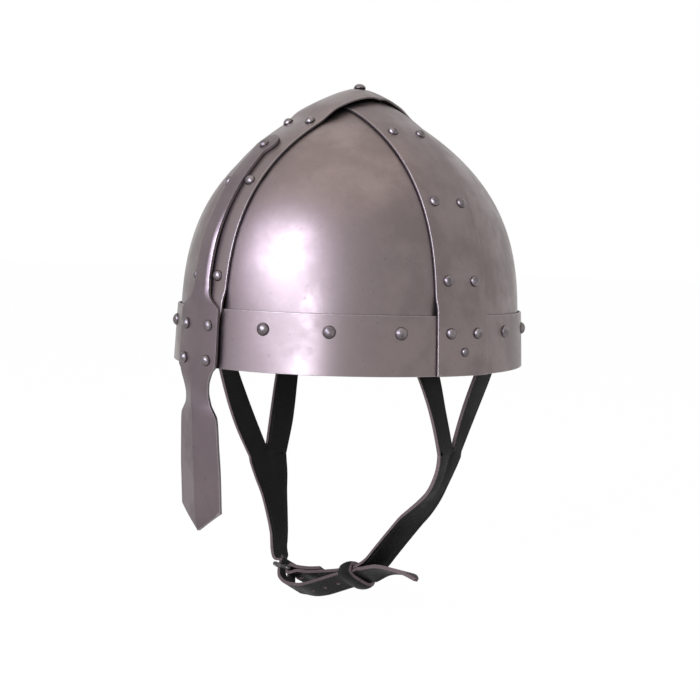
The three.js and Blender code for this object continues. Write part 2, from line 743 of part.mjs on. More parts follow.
// The buckle: a frame of round bar, with a tongue that turns on its heel bar
function barBetween(a, b, radius, frame) {
  const from = new THREE.Vector3(...a);
  const to = new THREE.Vector3(...b);
  const middle = from.clone().add(to).divideScalar(2);
  const place = along(to.clone().sub(from), middle).premultiply(strapMatrix(frame));
  return solidOf(bar(radius, from.distanceTo(to)), place);
}

function knob(at, radius, frame) {
  const place = new THREE.Matrix4().makeTranslation(...at).premultiply(strapMatrix(frame));
  return solidOf(new THREE.IcosahedronGeometry(radius * 1.15), place);
}

function buckleFrame() {
  const frame = strapFrame(0);
  const half = strapWidth / 2 + buckleGap + buckleBar;
  const corners = [[-half, 0, 0], [half, 0, 0], [half, buckleLength, 0], [-half, buckleLength, 0]];
  const bars = corners.flatMap((corner, i) => [
    barBetween(corner, corners[(i + 1) % 4], buckleBar, frame),
    knob(corner, buckleBar, frame),
  ]);
  return bars.reduce((solid, piece) => solid.add(piece));
}
addPiece("buckle_frame", buckleFrame(), buckleSteel);

function buckleTongue() {
  const frame = strapFrame(0);
  const loop = buckleBar + barGap + tongueBar;
  const ring = new THREE.TorusGeometry(loop, tongueBar, 6, 12).rotateY(Math.PI / 2);
  const tipPast = buckleLength + 2 * buckleBar;
  const tip = [0, tipPast, (loop * (tipPast - loop)) / (buckleLength - loop)];
  const shank = barBetween([0, loop, 0], tip, tongueBar, frame);
  const ends = knob(tip, tongueBar, frame).add(knob([0, loop, 0], tongueBar, frame));
  return solidOf(ring, strapMatrix(frame)).add(shank).add(ends);
}
addPiece("buckle_tongue", buckleTongue(), buckleSteel);

function roundedRing(width, height, wall) {
  const outline = (w, h, radius) => {
    const path = new THREE.Path();
    const [x, y] = [w / 2 - radius, h / 2 - radius];
    path.absarc(x, y, radius, 0, Math.PI / 2);
    path.absarc(-x, y, radius, Math.PI / 2, Math.PI);
    path.absarc(-x, -y, radius, Math.PI, 1.5 * Math.PI);
    path.absarc(x, -y, radius, 1.5 * Math.PI, 2 * Math.PI);
    return path;
  };
  const shape = new THREE.Shape(outline(width + 2 * wall, height + 2 * wall, wall).getPoints(3));
  shape.holes.push(new THREE.Path(outline(width, height, wall / 3).getPoints(2)));
  return shape;
}

function strapKeeper() {
  const layers = 2 * strapLeather + strapGap;
  const shape = roundedRing(strapWidth + 2 * keeperGap, layers + 2 * keeperGap, keeperWall);
  const band = new THREE.ExtrudeGeometry(shape, { depth: keeperLength, bevelEnabled: false });
  band.translate(0, (strapLeather + strapGap) / 2, -keeperLength / 2);
  const frame = strapFrame(-keeperBack);
  const back = frame.run.clone().negate();
  const place = new THREE.Matrix4().makeBasis(frame.across, frame.out, back).setPosition(frame.place);
  return solidOf(band, place);
}
addPiece("strap_keeper", strapKeeper(), strapHide);

// Rivets: each stands in a hole through the sheets that it holds, its tail hammered over inside
const caster = new THREE.Raycaster();
const bothSides = new THREE.MeshBasicMaterial({ side: THREE.DoubleSide });
const shown = new Map();
for (const [name, { solid }] of pieces) shown.set(name, new THREE.Mesh(geometryOf(solid), bothSides));

// How far out and in the held sheets reach along a rivet, over the circle that it covers
function stackReach(names, place, out, radius) {
  const aside = new THREE.Vector3(0, 0, 1).cross(out).add(new THREE.Vector3(out.z, 0, 0)).normalize();
  const far = rimHalfLength / 4;
  const reach = [-far, far];
  for (let i = 0; i <= 8; i++) {
    const spoke = aside.clone().addScaledVector(out, -aside.dot(out)).setLength(i < 8 ? radius : 0);
    spoke.applyAxisAngle(out, (i / 8) * 2 * Math.PI);
    const from = place.clone().add(spoke).addScaledVector(out, far);
    caster.set(from, out.clone().negate());
    caster.far = 2 * far;
    const found = names.flatMap((name) => caster.intersectObject(shown.get(name)));
    const hits = found.map((hit) => far - hit.distance);
    if (!hits.length) continue;
    reach[0] = Math.max(reach[0], ...hits);
    reach[1] = Math.min(reach[1], ...hits);
  }
  return reach;
}

function rivetShape(shank, scale) {
  const head = rivetHead * scale;
  const rise = rivetRise * scale;
  const tail = rivetTail * scale;
  const radius = rivetShank * scale;
  const profile = [
    [0, -rivetTailRise], [tail, -rivetTailRise], [tail, 0], [radius, 0],
    [radius, shank], [head, shank], [head * 0.8, shank + rise * 0.62], [0, shank + rise],
  ];
  return new THREE.LatheGeometry(profile.map(([x, y]) => new THREE.Vector2(x, y)), 8);
}

function addRivet(name, held, place, out, scale = 1, sunk = 0) {
  const top = stackReach(held, place, out, rivetHead * scale)[0] + rivetSeat;
  const bottom = stackReach(held, place, out, rivetTail * scale)[1] - rivetSeat + sunk;
  const drillRadius = (rivetShank * scale + holeGap) / Math.cos(Math.PI / 6);
  const drill = bar(drillRadius, top - bottom + 2 * strapLeather, 6);
  for (const sheetName of held) {
    const middle = place.clone().addScaledVector(out, (top + bottom) / 2);
    holes.get(sheetName).push(solidOf(drill, along(out, middle)));
  }
  if (sunk) {
    const pocket = bar(rivetTail * scale + holeGap, 2 * (rivetTailRise + rivetSeat));
    const under = place.clone().addScaledVector(out, bottom - rivetTailRise);
    holes.get(held[0]).push(solidOf(pocket, along(out, under)));
  }
  const foot = place.clone().addScaledVector(out, bottom);
  const solid = solidOf(rivetShape(top - bottom, scale), along(out, foot));
  pieces.set(name, { solid, material: rivetSteel });
}

// A point of the plates' surface under a band, at its own height
function bandPlace(way, side, across, height) {
  const share = shareAt(height) ** planPowerShare - (Math.abs(across) / way.acrossHalf) ** planPowerShare;
  return way.place(side * way.half * power(share, 1 / planPowerShare), across, height);
}

function bandRivet(name, held, [way, side], across, height, scale) {
  const place = bandPlace(way, side, across, height);
  addRivet(name, held, place, normalAt(place), scale);
}

const crown = new THREE.Vector3(0, 0, bowlHeight);
addRivet("crown_rivet", ["crest_band", "side_band"], crown, new THREE.Vector3(0, 0, 1));
for (const [frontName, front] of [["front", -1], ["rear", 1]]) {
  const guard = front < 0 ? ["nasal_guard"] : [];
  for (const [leftName, left] of [["left", 1], ["right", -1]]) {
    const plateName = `dome_plate_${frontName}_${leftName}`;
    const crest = [overCrest, front];
    const aside = left * pairHalf;
    crestPairShares.forEach((share, i) => {
      const name = `crest_${frontName}_${leftName}_rivet_${i + 1}`;
      bandRivet(name, ["crest_band", plateName], crest, aside, share * bowlHeight);
    });
    const crestFoot = [...guard, "crest_band", "brow_band", plateName, "liner"];
    bandRivet(`crest_foot_${frontName}_${leftName}_rivet`, crestFoot, crest, aside, browRivetHeight);
    const across = front * pairHalf - sideForward;
    const sideWay = [overSides, left];
    sidePairShares.forEach((share, i) => {
      const name = `side_${leftName}_${frontName}_rivet_${i + 1}`;
      bandRivet(name, ["side_band", plateName], sideWay, across, share * bowlHeight);
    });
    const sideFoot = ["side_band", "brow_band", plateName, "liner"];
    bandRivet(`side_foot_${leftName}_${frontName}_rivet`, sideFoot, sideWay, across, browRivetHeight);
  }
}
for (const [leftName, left] of [["left", 1], ["right", -1]]) {
  const sideFoot = ["side_band", "brow_band"];
  const sideName = `side_foot_${leftName}_low_rivet`;
  bandRivet(sideName, sideFoot, [overSides, left], -sideForward, footRivetHeight, smallHeadShare);
  const guardFoot = ["nasal_guard", "crest_band", "brow_band"];
  bandRivet(`guard_low_${leftName}_rivet`, guardFoot, [overCrest, -1], left * pairHalf, lowRivetHeight);
}
const rearFoot = ["crest_band", "brow_band"];
bandRivet("crest_foot_rear_low_rivet", rearFoot, [overCrest, 1], 0, footRivetHeight, smallHeadShare);
const tipHeight = heightAt(shareAlong(overCrest, stemLength - tipRivetBack));
bandRivet("guard_tip_rivet", ["nasal_guard", "crest_band"], [overCrest, -1], 0, tipHeight);

// The strap's legs are riveted to the liner, heads inside and tails sunk into the liner's leather
const legMiddleShares = { left: [-0.193, 0.218], right: [-0.284, 0.176] };
for (const [sideName, side] of [["left", 1], ["right", -1]]) {
  ["front", "rear"].forEach((legName, i) => {
    const place = bandPlace(overSides, side, legMiddleShares[sideName][i] * strapDrop, strapRivetHeight);
    const sunk = rivetTailRise * smallHeadShare + 2 * rivetSeat;
    const name = `strap_${sideName}_${legName}_rivet`;
    const held = ["liner", `${sideName}_strap_fork`];
    addRivet(name, held, place, normalAt(place).negate(), smallHeadShare, sunk);
  });
}

for (const [name, { solid, material }] of pieces) {
  const drilled = (holes.get(name) ?? []).reduce((rest, hole) => rest.subtract(hole), solid);
  const mesh = new THREE.Mesh(geometryOf(drilled), material.clone());
  mesh.name = name;
  helmet.add(mesh);
}

export default helmet;
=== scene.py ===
# %% [markdown]
# # A riveted helmet, cell by cell
# A spangenhelm is a bowl of four curved plates held by two crossed bands and a ring round the brow.
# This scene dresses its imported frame: each sheet is made again with smooth faces and rounded edges,
# rivets and stitches are made by Geometry Nodes, and every surface gets its own material.

# %% Load the frame
import math
import bmesh
import bpy
import numpy as np
from mathutils import Matrix, Vector


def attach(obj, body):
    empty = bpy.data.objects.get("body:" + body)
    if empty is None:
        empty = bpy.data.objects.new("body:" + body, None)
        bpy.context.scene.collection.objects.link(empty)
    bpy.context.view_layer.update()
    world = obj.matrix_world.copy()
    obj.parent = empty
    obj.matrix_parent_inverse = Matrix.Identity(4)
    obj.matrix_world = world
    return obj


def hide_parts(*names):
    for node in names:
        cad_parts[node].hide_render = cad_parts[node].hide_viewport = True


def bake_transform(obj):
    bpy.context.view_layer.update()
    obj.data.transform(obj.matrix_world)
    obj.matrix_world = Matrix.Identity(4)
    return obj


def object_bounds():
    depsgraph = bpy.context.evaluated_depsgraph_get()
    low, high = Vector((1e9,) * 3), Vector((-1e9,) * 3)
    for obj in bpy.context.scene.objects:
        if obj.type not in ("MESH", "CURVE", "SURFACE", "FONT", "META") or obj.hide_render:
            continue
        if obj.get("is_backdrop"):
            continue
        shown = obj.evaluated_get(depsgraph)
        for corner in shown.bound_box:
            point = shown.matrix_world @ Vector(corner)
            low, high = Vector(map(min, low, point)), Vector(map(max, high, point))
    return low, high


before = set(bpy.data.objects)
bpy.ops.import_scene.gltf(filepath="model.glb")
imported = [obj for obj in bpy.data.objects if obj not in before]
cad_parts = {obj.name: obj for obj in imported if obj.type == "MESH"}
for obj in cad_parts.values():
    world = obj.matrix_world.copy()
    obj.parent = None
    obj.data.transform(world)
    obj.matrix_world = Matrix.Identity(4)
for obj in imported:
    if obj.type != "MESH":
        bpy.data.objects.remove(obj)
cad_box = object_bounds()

MM = 0.001
scene = bpy.context.scene
print("nodes in the frame:", len(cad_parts))

# %% [markdown]
# ## The camera
# The photo was taken from the wearer's front left, a little above the rim, and leans by two degrees.
# A camera is three directions and a place, so it is set from one matrix instead of three turns.

# %% Aim the camera
camera_azimuth = math.radians(48.58)
camera_rise = math.radians(4.76)
camera_roll = math.radians(1.93)
camera_distance = 752.75 * MM
camera_aside = -0.6 * MM
camera_lift = 5.81 * MM
camera_lens = 60.81


def aim_camera():
    across = math.sin(camera_azimuth)
    ahead = math.cos(camera_azimuth)
    level = math.cos(camera_rise)
    back = Vector((across * level, -ahead * level, math.sin(camera_rise)))
    right = Vector((ahead, across, 0))
    up = back.cross(right)
    rolled_right = right * math.cos(camera_roll) + up * math.sin(camera_roll)
    rolled_up = up * math.cos(camera_roll) - right * math.sin(camera_roll)
    data = bpy.data.cameras.new("photo_camera")
    data.lens = camera_lens
    camera = bpy.data.objects.new("photo_camera", data)
    turn = Matrix((rolled_right, rolled_up, back)).transposed().to_4x4()
    place = right * camera_aside + Vector((0, 0, camera_lift)) + back * camera_distance
    camera.matrix_world = Matrix.Translation(place) @ turn
    scene.collection.objects.link(camera)
    scene.camera = camera


aim_camera()
print("camera:", round(camera_distance / MM), "mm away with a lens of", camera_lens, "mm")

# %% [markdown]
# ## Light, world and floor
# Polished steel shows what is around it. A white world gives it an even mid tone. A soft lamp before
# the helmet, with a wide violet one round it, gives the broad shine on the front plate. A small lamp
# lower down gives its echo on the brow band, and a warm one overhead tints the crown. The world and
# the floor are white where the camera, a gloss or a clear material looks at them, and dimmer where
# they only light things.

# %% A white world
white = (1, 1, 1, 1)
world_light = 0.62


def new_nodes(owner):
    owner.use_nodes = True
    tree = owner.node_tree
    tree.nodes.clear()
    return tree


def seen_directly(tree):
    """1 where the camera, a gloss or a clear material looks, and 0 where light is only gathered."""
    path = tree.nodes.new("ShaderNodeLightPath")
    last = path.outputs["Is Camera Ray"]
    for name in ("Is Glossy Ray", "Is Transmission Ray"):
        larger = tree.nodes.new("ShaderNodeMath")
        larger.operation = "MAXIMUM"
        tree.links.new(last, larger.inputs[0])
        tree.links.new(path.outputs[name], larger.inputs[1])
        last = larger.outputs[0]
    return last


def light_world():
    world = bpy.data.worlds.new("white_studio")
    scene.world = world
    tree = new_nodes(world)
    shown = tree.nodes.new("ShaderNodeBackground")
    shown.inputs["Color"].default_value = white
    gathered = tree.nodes.new("ShaderNodeBackground")
    gathered.inputs["Color"].default_value = white
    gathered.inputs["Strength"].default_value = world_light
    mix = tree.nodes.new("ShaderNodeMixShader")
    out = tree.nodes.new("ShaderNodeOutputWorld")
    tree.links.new(seen_directly(tree), mix.inputs[0])
    tree.links.new(gathered.outputs[0], mix.inputs[1])
    tree.links.new(shown.outputs[0], mix.inputs[2])
    tree.links.new(mix.outputs[0], out.inputs["Surface"])


scene.view_settings.view_transform = "Standard"
light_world()
print("world:", world_light, "of white where it only lights things")

# %% Floor
floor_drop = 6 * MM
floor_half = 12
floor_glow_share = 0.98


def lay_floor():
    bpy.ops.mesh.primitive_plane_add(size=2 * floor_half)
    floor = bpy.context.object
    floor.name = "floor"
    floor.location.z = cad_box[0][2] - floor_drop
    material = bpy.data.materials.new("pale_floor")
    tree = new_nodes(material)
    matt = tree.nodes.new("ShaderNodeBsdfDiffuse")
    matt.inputs["Color"].default_value = white
    glow = tree.nodes.new("ShaderNodeEmission")
    share = tree.nodes.new("ShaderNodeMath")
    share.operation = "MULTIPLY"
    share.inputs[1].default_value = floor_glow_share
    mix = tree.nodes.new("ShaderNodeMixShader")
    out = tree.nodes.new("ShaderNodeOutputMaterial")
    tree.links.new(seen_directly(tree), share.inputs[0])
    tree.links.new(share.outputs[0], mix.inputs[0])
    tree.links.new(matt.outputs[0], mix.inputs[1])
    tree.links.new(glow.outputs[0], mix.inputs[2])
    tree.links.new(mix.outputs[0], out.inputs["Surface"])
    floor.data.materials.append(material)
    floor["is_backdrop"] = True


lay_floor()
print("floor:", round(floor_drop / MM), "mm below the part")

# %% Lamps
bowl_middle = (0, 0, 60 * MM)
lamp_distance = 1500 * MM
key_width = 540 * MM
key_height = 600 * MM
halo_width = 1300 * MM
halo_height = 1000 * MM
low_width = 300 * MM
low_height = 400 * MM
top_size = 1800 * MM
cool = (0.8, 0.84, 1)
violet = (0.76, 0.72, 1)
warm = (1, 0.87, 0.68)


def soft_lamp(name, azimuth, rise, width, height, watts, colour):
    """A rectangular lamp that looks at the bowl from an azimuth (0 is the front) and a rise, in degrees."""
    data = bpy.data.lights.new(name, "AREA")
    data.shape = "RECTANGLE"
    data.size = width
    data.size_y = height
    data.energy = watts
    data.color = colour
    lamp = bpy.data.objects.new(name, data)
    turn, tilt = math.radians(azimuth), math.radians(rise)
    back = Vector((math.sin(turn) * math.cos(tilt), -math.cos(turn) * math.cos(tilt), math.sin(tilt)))
    lamp.location = Vector(bowl_middle) + back * lamp_distance
    lamp.rotation_euler = back.to_track_quat("Z", "Y").to_euler()
    scene.collection.objects.link(lamp)
    print(name, watts, "W")


soft_lamp("key_lamp", 14, 21, key_width, key_height, 23, cool)
soft_lamp("halo_lamp", 8, 22, halo_width, halo_height, 13, violet)
soft_lamp("low_lamp", 31, 2, low_width, low_height, 8, cool)
soft_lamp("top_lamp", 20, 80, top_size, top_size, 6, warm)

# %% [markdown]
# ## The bowl as a rule
# Every sheet of the bowl lies on one surface: its plan is a rounded oval and its side view rises
# steeply and closes to a low point. Writing that surface once, as the drawing of the part does,
# keeps plates, bands and rivets in line with each other and with the frame.

# %% The bowl's surface
rim_half_length = 115.6 * MM
rim_half_width = 103.4 * MM
bowl_height = 165 * MM
sheet = 1.5 * MM
layer_gap = 0.3 * MM
band_gap = 0.45 * MM
brow_height = 34 * MM
brow_flare = 1.75 * MM
foot_step = 10 * MM
foot_clear = 2 * MM
crest_width = 34 * MM
side_width = 37 * MM
side_forward = 5.5 * MM
crown_ramp = 16 * MM
crown_clear = 6 * MM
rear_clear = 2 * MM
crown_gap = 0.9 * MM
crown_round = 6 * MM
crown_lift = 0.5 * MM
front_reach = 54 * MM
rear_reach = 17 * MM
plan_power = 1.95
rise_power = 3.4
crown_power = 1.13
brow_stack = brow_flare + sheet + layer_gap
half_length = rim_half_length - brow_stack
half_width = rim_half_width - brow_stack
steep_share = 0.7
least_share = 1e-6
fine_steps = 600


def smooth(t):
    t = np.clip(t, 0, 1)
    return t * t * (3 - 2 * t)


def bent(value, power):
    """A power of a value's size that keeps its sign."""
    return np.sign(value) * np.abs(value) ** power


def unit(vector):
    return vector / np.linalg.norm(vector, axis=-1, keepdims=True)


def full_turn(count):
    """Even angles round a circle; the last is a step short of the first."""
    return np.linspace(0, 2 * math.pi, count, endpoint=False)


def oval(angle):
    """An angle's sine and cosine, bent so that they follow the plan's rounded oval."""
    return bent(np.sin(angle), 2 / plan_power), bent(np.cos(angle), 2 / plan_power)


def halves_of(way):
    """Half the plates' size along a band's way, and across it."""
    return (half_length, half_width) if way == "crest" else (half_width, half_length)


def share_at(height):
    """How much of the rim's size is left at a height."""
    return (1 - (np.clip(height, 0, bowl_height) / bowl_height) ** rise_power) ** (1 / crown_power)


def height_at(share):
    return bowl_height * (1 - np.clip(share, 0, 1) ** crown_power) ** (1 / rise_power)


def normals_at(points):
    """The way out of the plates' surface at each point."""
    x = np.abs(points[..., 0]) / half_width
    y = np.abs(points[..., 1]) / half_length
    share = np.maximum((x ** plan_power + y ** plan_power) ** (1 / plan_power), least_share)
    steep = crown_power * share ** (crown_power - plan_power)
    out = np.stack([
        np.sign(points[..., 0]) * steep * x ** (plan_power - 1) / half_width,
        np.sign(points[..., 1]) * steep * y ** (plan_power - 1) / half_length,
        rise_power * (points[..., 2] / bowl_height) ** (rise_power - 1) / bowl_height,
    ], axis=-1)
    return unit(out)


def lifted(points, offset):
    return points + normals_at(points) * np.asarray(offset)[..., None]


print("inside of the rim, mm:", round(2 * half_length / MM), "by", round(2 * half_width / MM))


# %% Bands on the bowl's surface
def band_points(way, shares, across):
    """Points under a band, from signed shares of the rim along it and distances across it."""
    half, across_half = halves_of(way)
    aside = (np.abs(across) / across_half) ** plan_power
    size = np.abs(shares)
    share = (size ** plan_power + aside * (1 - size ** plan_power)) ** (1 / plan_power)
    along = shares * half * (1 - aside) ** (1 / plan_power)
    place = [across + 0 * along, along] if way == "crest" else [along, across + 0 * along]
    return np.stack([*place, height_at(share)], axis=-1)


def meridian(way):
    """A fine line from the rim to the crown: the length so far, and the share of the rim there."""
    top = steep_share * bowl_height
    steep = share_at(np.linspace(0, top, fine_steps))
    shares = np.concatenate([steep, np.linspace(share_at(top), 0, fine_steps)[1:]])
    run = np.hypot(np.diff(shares) * halves_of(way)[0], np.diff(height_at(shares)))
    return np.concatenate([[0], np.cumsum(run)]), shares


def meridian_shares(way, steps):
    """Signed shares from one rim over the crown to the other, in even steps of length."""
    length, shares = meridian(way)
    front = np.interp(np.linspace(0, length[-1], steps + 1), length, shares)
    return np.concatenate([-front, front[-2::-1]])


def foot_face(way, height):
    """How far a band's inner face stands off the plates: over the brow band, then down in a soft step."""
    low = np.minimum(height, brow_height)
    over = brow_flare * (1 - low / brow_height) + sheet + 2 * layer_gap - band_gap
    over = over + halves_of(way)[0] * (1 - share_at(low))
    return band_gap + over * (1 - smooth((height - brow_height - foot_clear) / foot_step))


def crown_arch(points):
    """How far the crest band, bent to a round arch, stands off the bowl's point near the crown."""
    along = np.abs(points[..., 1]) / half_length
    tip = crown_round / half_length
    rounded = height_at(np.hypot(along, tip)) - height_at(along) + height_at(0) - height_at(tip)
    reach = np.where(points[..., 1] < 0, front_reach, rear_reach)
    return (rounded + crown_lift) * (1 - smooth(np.abs(points[..., 1]) / reach))


def crest_face(points):
    """The crest band steps out once more over the side band, and arches over the bowl's point."""
    clear = np.where(points[..., 1] < 0, crown_clear, rear_clear)
    beyond = np.abs(points[..., 1] + side_forward) - side_width / 2 - clear
    step = (crown_gap + sheet) * (1 - smooth(beyond / crown_ramp))
    return foot_face("crest", points[..., 2]) + step + crown_arch(points)


def side_face(points):
    return foot_face("side", points[..., 2])


print("the crest's half length, mm:", round(meridian("crest")[0][-1] / MM))

# %% [markdown]
# ## A sheet from two faces
# A sheet of steel or leather is a thin body with an outer face, an inner face and a wall round its
# border. It could be a plane with a Solidify modifier, but the CAD gives both faces exactly, so both
# grids are computed and sewn together. A Bevel modifier then rounds the cut edges, and hardened
# normals keep the large faces true. Each sheet also stores three things that its material reads:
# a UV map in metres, the distance to its border, and whether a point is on the inner side.

# %% Sheets
every_row = 10 ** 6


def sheet_faces(rows, columns, ring, open_first, open_last):
    """Quads as (face, row, column) corners; past a row the first or last wall is left out, to sew halves."""
    last = columns - 1
    quads = []
    for i in range(rows if ring else rows - 1):
        for j in range(last):
            quads.append([(0, i, j), (0, i + 1, j), (0, i + 1, j + 1), (0, i, j + 1)])
            quads.append([(1, i, j), (1, i, j + 1), (1, i + 1, j + 1), (1, i + 1, j)])
        if i < open_first:
            quads.append([(0, i, 0), (1, i, 0), (1, i + 1, 0), (0, i + 1, 0)])
        if i < open_last:
            quads.append([(0, i + 1, last), (1, i + 1, last), (1, i, last), (0, i, last)])
    for j in range(0 if ring else last):
        quads.append([(0, 0, j), (0, 0, j + 1), (1, 0, j + 1), (1, 0, j)])
        end = rows - 1
        quads.append([(0, end, j + 1), (0, end, j), (1, end, j), (1, end, j + 1)])
    return quads


def sheet_mesh(name, outer, inner, ring=False, open_first=every_row, open_last=every_row):
    """A closed sheet between two grids of points, with its UV map and its values."""
    rows, columns = outer.shape[:2]
    across = np.cumsum(np.linalg.norm(np.diff(outer, axis=1, prepend=outer[:, :1]), axis=2), axis=1)
    middle = outer[:, columns // 2]
    line = np.concatenate([middle, middle[:1]]) if ring else middle
    along = np.concatenate([[0], np.cumsum(np.linalg.norm(np.diff(line, axis=0), axis=1))])
    from_first = across.copy()
    from_last = across[:, -1:] - across
    from_first[open_first:] = 1
    from_last[open_last:] = 1
    edge = np.minimum(from_first, from_last)
    if not ring:
        edge = np.minimum(edge, np.minimum(along, along[-1] - along)[:, None])
    quads = sheet_faces(rows, columns, ring, open_first, open_last)
    faces = [[(f * rows + i % rows) * columns + j for f, i, j in quad] for quad in quads]
    points = np.concatenate([outer.reshape(-1, 3), inner.reshape(-1, 3)])
    mesh = bpy.data.meshes.new(name)
    mesh.from_pydata(points.tolist(), [], faces)
    centred = across - across[:, -1:] / 2
    uv = [(along[i], centred[i % rows, j]) for quad in quads for _, i, j in quad]
    mesh.uv_layers.new(name="UVMap").data.foreach_set("uv", np.ravel(uv))
    give_values(mesh, "edge", np.tile(edge.ravel(), 2))
    give_values(mesh, "inner_side", np.repeat([0.0, 1.0], rows * columns))
    return mesh


def give_values(mesh, name, values):
    attribute = mesh.attributes.new(name, "FLOAT", "POINT")
    attribute.data.foreach_set("value", np.asarray(values, dtype=np.float32))


# %% Finish a piece and hang it on its body
merge_distance = 0.002 * MM
sharp_angle = math.radians(50)


def finished(name, meshes, rounding, material):
    """One object from the meshes, merged, facing out, its edges rounded and its modifiers applied."""
    whole = bmesh.new()
    for mesh in meshes:
        whole.from_mesh(mesh)
    bmesh.ops.remove_doubles(whole, verts=whole.verts, dist=merge_distance)
    bmesh.ops.recalc_face_normals(whole, faces=whole.faces)
    for face in whole.faces:
        face.smooth = True
    joined = bpy.data.meshes.new(name)
    whole.to_mesh(joined)
    whole.free()
    joined.materials.clear()
    joined.materials.append(material)
    obj = bpy.data.objects.new(name, joined)
    scene.collection.objects.link(obj)
    if rounding:
        bevel = obj.modifiers.new("rounded edges", "BEVEL")
        bevel.width = rounding
        bevel.segments = 2
        bevel.limit_method = "ANGLE"
        bevel.angle_limit = sharp_angle
        bevel.harden_normals = True
        keep_result(obj)
    return obj


def keep_result(obj):
    """Replace an object's mesh by what its modifiers make of it, and remove them."""
    depsgraph = bpy.context.evaluated_depsgraph_get()
    made = bpy.data.meshes.new_from_object(obj.evaluated_get(depsgraph), depsgraph=depsgraph)
    obj.modifiers.clear()
    obj.data = made


def settle(obj, body, slot, *nodes):
    """Hang a finished piece on its body in place of its CAD nodes."""
    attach(obj, body)
    if nodes:
        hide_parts(*nodes)
    print(obj.name, len(obj.data.polygons), "faces")


def dress(node, meshes, rounding, material, slot, body="shell"):
    """Make one piece from the meshes and settle it in place of one CAD node."""
    settle(finished(f"shaped_{node}", meshes, rounding, material), body, slot, node)


# %% [markdown]
# ## Shader tools
# Steel and leather share a few effects: fine brushing, cloudy patina, a mask along the edges (wear and a
# painted highlight on steel, the cut colour on leather) and grain.
# Each is a node group with named inputs that puts out only masks and heights, so that it can be
# placed in any material with its own scale, while the shader itself stays in the material.

# %% Node helpers
def place_node(tree, kind, values=None, **settings):
    """Add a node, set its properties, and fill its sockets with values or with links."""
    node = tree.nodes.new(kind)
    for name, value in settings.items():
        setattr(node, name, value)
    for key, value in (values or {}).items():
        socket = node.inputs[key]
        if isinstance(value, bpy.types.NodeSocket):
            tree.links.new(value, socket)
        else:
            socket.default_value = value
    return node


def math_node(tree, operation, *values):
    return place_node(tree, "ShaderNodeMath", dict(enumerate(values)), operation=operation).outputs[0]


def stored(tree, name):
    """A value that the mesh stores at its points."""
    return place_node(tree, "ShaderNodeAttribute", attribute_name=name).outputs["Fac"]


def noise(tree, vector, scale, detail, roughness):
    values = {"Vector": vector, "Scale": scale, "Detail": detail, "Roughness": roughness}
    return place_node(tree, "ShaderNodeTexNoise", values).outputs[0]


def remap(tree, value, low, high, to_low=0.0, to_high=1.0):
    values = {"Value": value, "From Min": low, "From Max": high, "To Min": to_low, "To Max": to_high}
    node = place_node(tree, "ShaderNodeMapRange", values, interpolation_type="SMOOTHSTEP")
    return node.outputs["Result"]


def blend_colours(tree, share, first, second):
    values = {0: share}
    for socket, colour in ((6, first), (7, second)):
        values[socket] = colour if isinstance(colour, bpy.types.NodeSocket) else (*colour, 1)
    return place_node(tree, "ShaderNodeMix", values, data_type="RGBA").outputs[2]


def shader_group(name, inputs, outputs):
    tree = bpy.data.node_groups.new(name, "ShaderNodeTree")
    for label, value in inputs.items():
        kind = "NodeSocketVector" if value is None else "NodeSocketFloat"
        socket = tree.interface.new_socket(label, in_out="INPUT", socket_type=kind)
        if value is not None:
            socket.default_value = value
    for label in outputs:
        tree.interface.new_socket(label, in_out="OUTPUT", socket_type="NodeSocketFloat")
    return tree, tree.nodes.new("NodeGroupInput").outputs, tree.nodes.new("NodeGroupOutput").inputs


# %% Brushing, patina, edge masks and grain
far_from_edge = 10 * MM
wear_and_sheen_width = 0.7 * MM


def brushing_group():
    """Fine lines along the sheet: noise stretched along the UV map's first direction."""
    tree, given, out = shader_group("brushing", {"Vector": None, "Along": 60, "Across": 2200}, ["Height"])
    stretch = place_node(tree, "ShaderNodeCombineXYZ", {0: given["Along"], 1: given["Across"]})
    lines = place_node(tree, "ShaderNodeVectorMath", {0: given["Vector"], 1: stretch.outputs[0]},
                       operation="MULTIPLY")
    tree.links.new(noise(tree, lines.outputs[0], 1, detail=2, roughness=0.6), out["Height"])
    return tree


def patina_group():
    """Cloudy tone, and small dark specks where oil and dirt have stayed."""
    tree, given, out = shader_group("patina", {"Vector": None, "Scale": 30, "Speck Scale": 420},
                                    ["Clouds", "Specks"])
    clouds = noise(tree, given["Vector"], given["Scale"], detail=5, roughness=0.62)
    tree.links.new(remap(tree, clouds, 0.36, 0.64), out["Clouds"])
    specks = noise(tree, given["Vector"], given["Speck Scale"], detail=2, roughness=0.5)
    tree.links.new(remap(tree, specks, 0.67, 0.74), out["Specks"])
    return tree


def edge_group():
    """1 at the sheet's border, broken up by noise, and 0 past a width from it."""
    inputs = {"Vector": None, "Distance": far_from_edge, "Width": wear_and_sheen_width, "Breakup": 400}
    tree, given, out = shader_group("border_mask", inputs, ["Mask"])
    broken = noise(tree, given["Vector"], given["Breakup"], detail=3, roughness=0.6)
    reach = remap(tree, broken, 0.3, 0.7, 0.35, 1.0)
    width = math_node(tree, "MULTIPLY", given["Width"], reach)
    share = math_node(tree, "DIVIDE", given["Distance"], width)
    tree.links.new(remap(tree, share, 0.5, 1.0, 1.0, 0.0), out["Mask"])
    return tree


def grain_group():
    """Leather: small rounded cells with creases between them, and softer folds over them."""
    tree, given, out = shader_group("leather_grain", {"Vector": None, "Cells": 1100, "Folds": 90},
                                    ["Height", "Creases"])
    values = {"Vector": given["Vector"], "Scale": given["Cells"]}
    cells = place_node(tree, "ShaderNodeTexVoronoi", values, feature="SMOOTH_F1").outputs["Distance"]
    creases = remap(tree, cells, 0.45, 0.8)
    folds = noise(tree, given["Vector"], given["Folds"], detail=4, roughness=0.6)
    height = math_node(tree, "SUBTRACT", folds, math_node(tree, "MULTIPLY", creases, 0.35))
    tree.links.new(height, out["Height"])
    tree.links.new(creases, out["Creases"])
    return tree


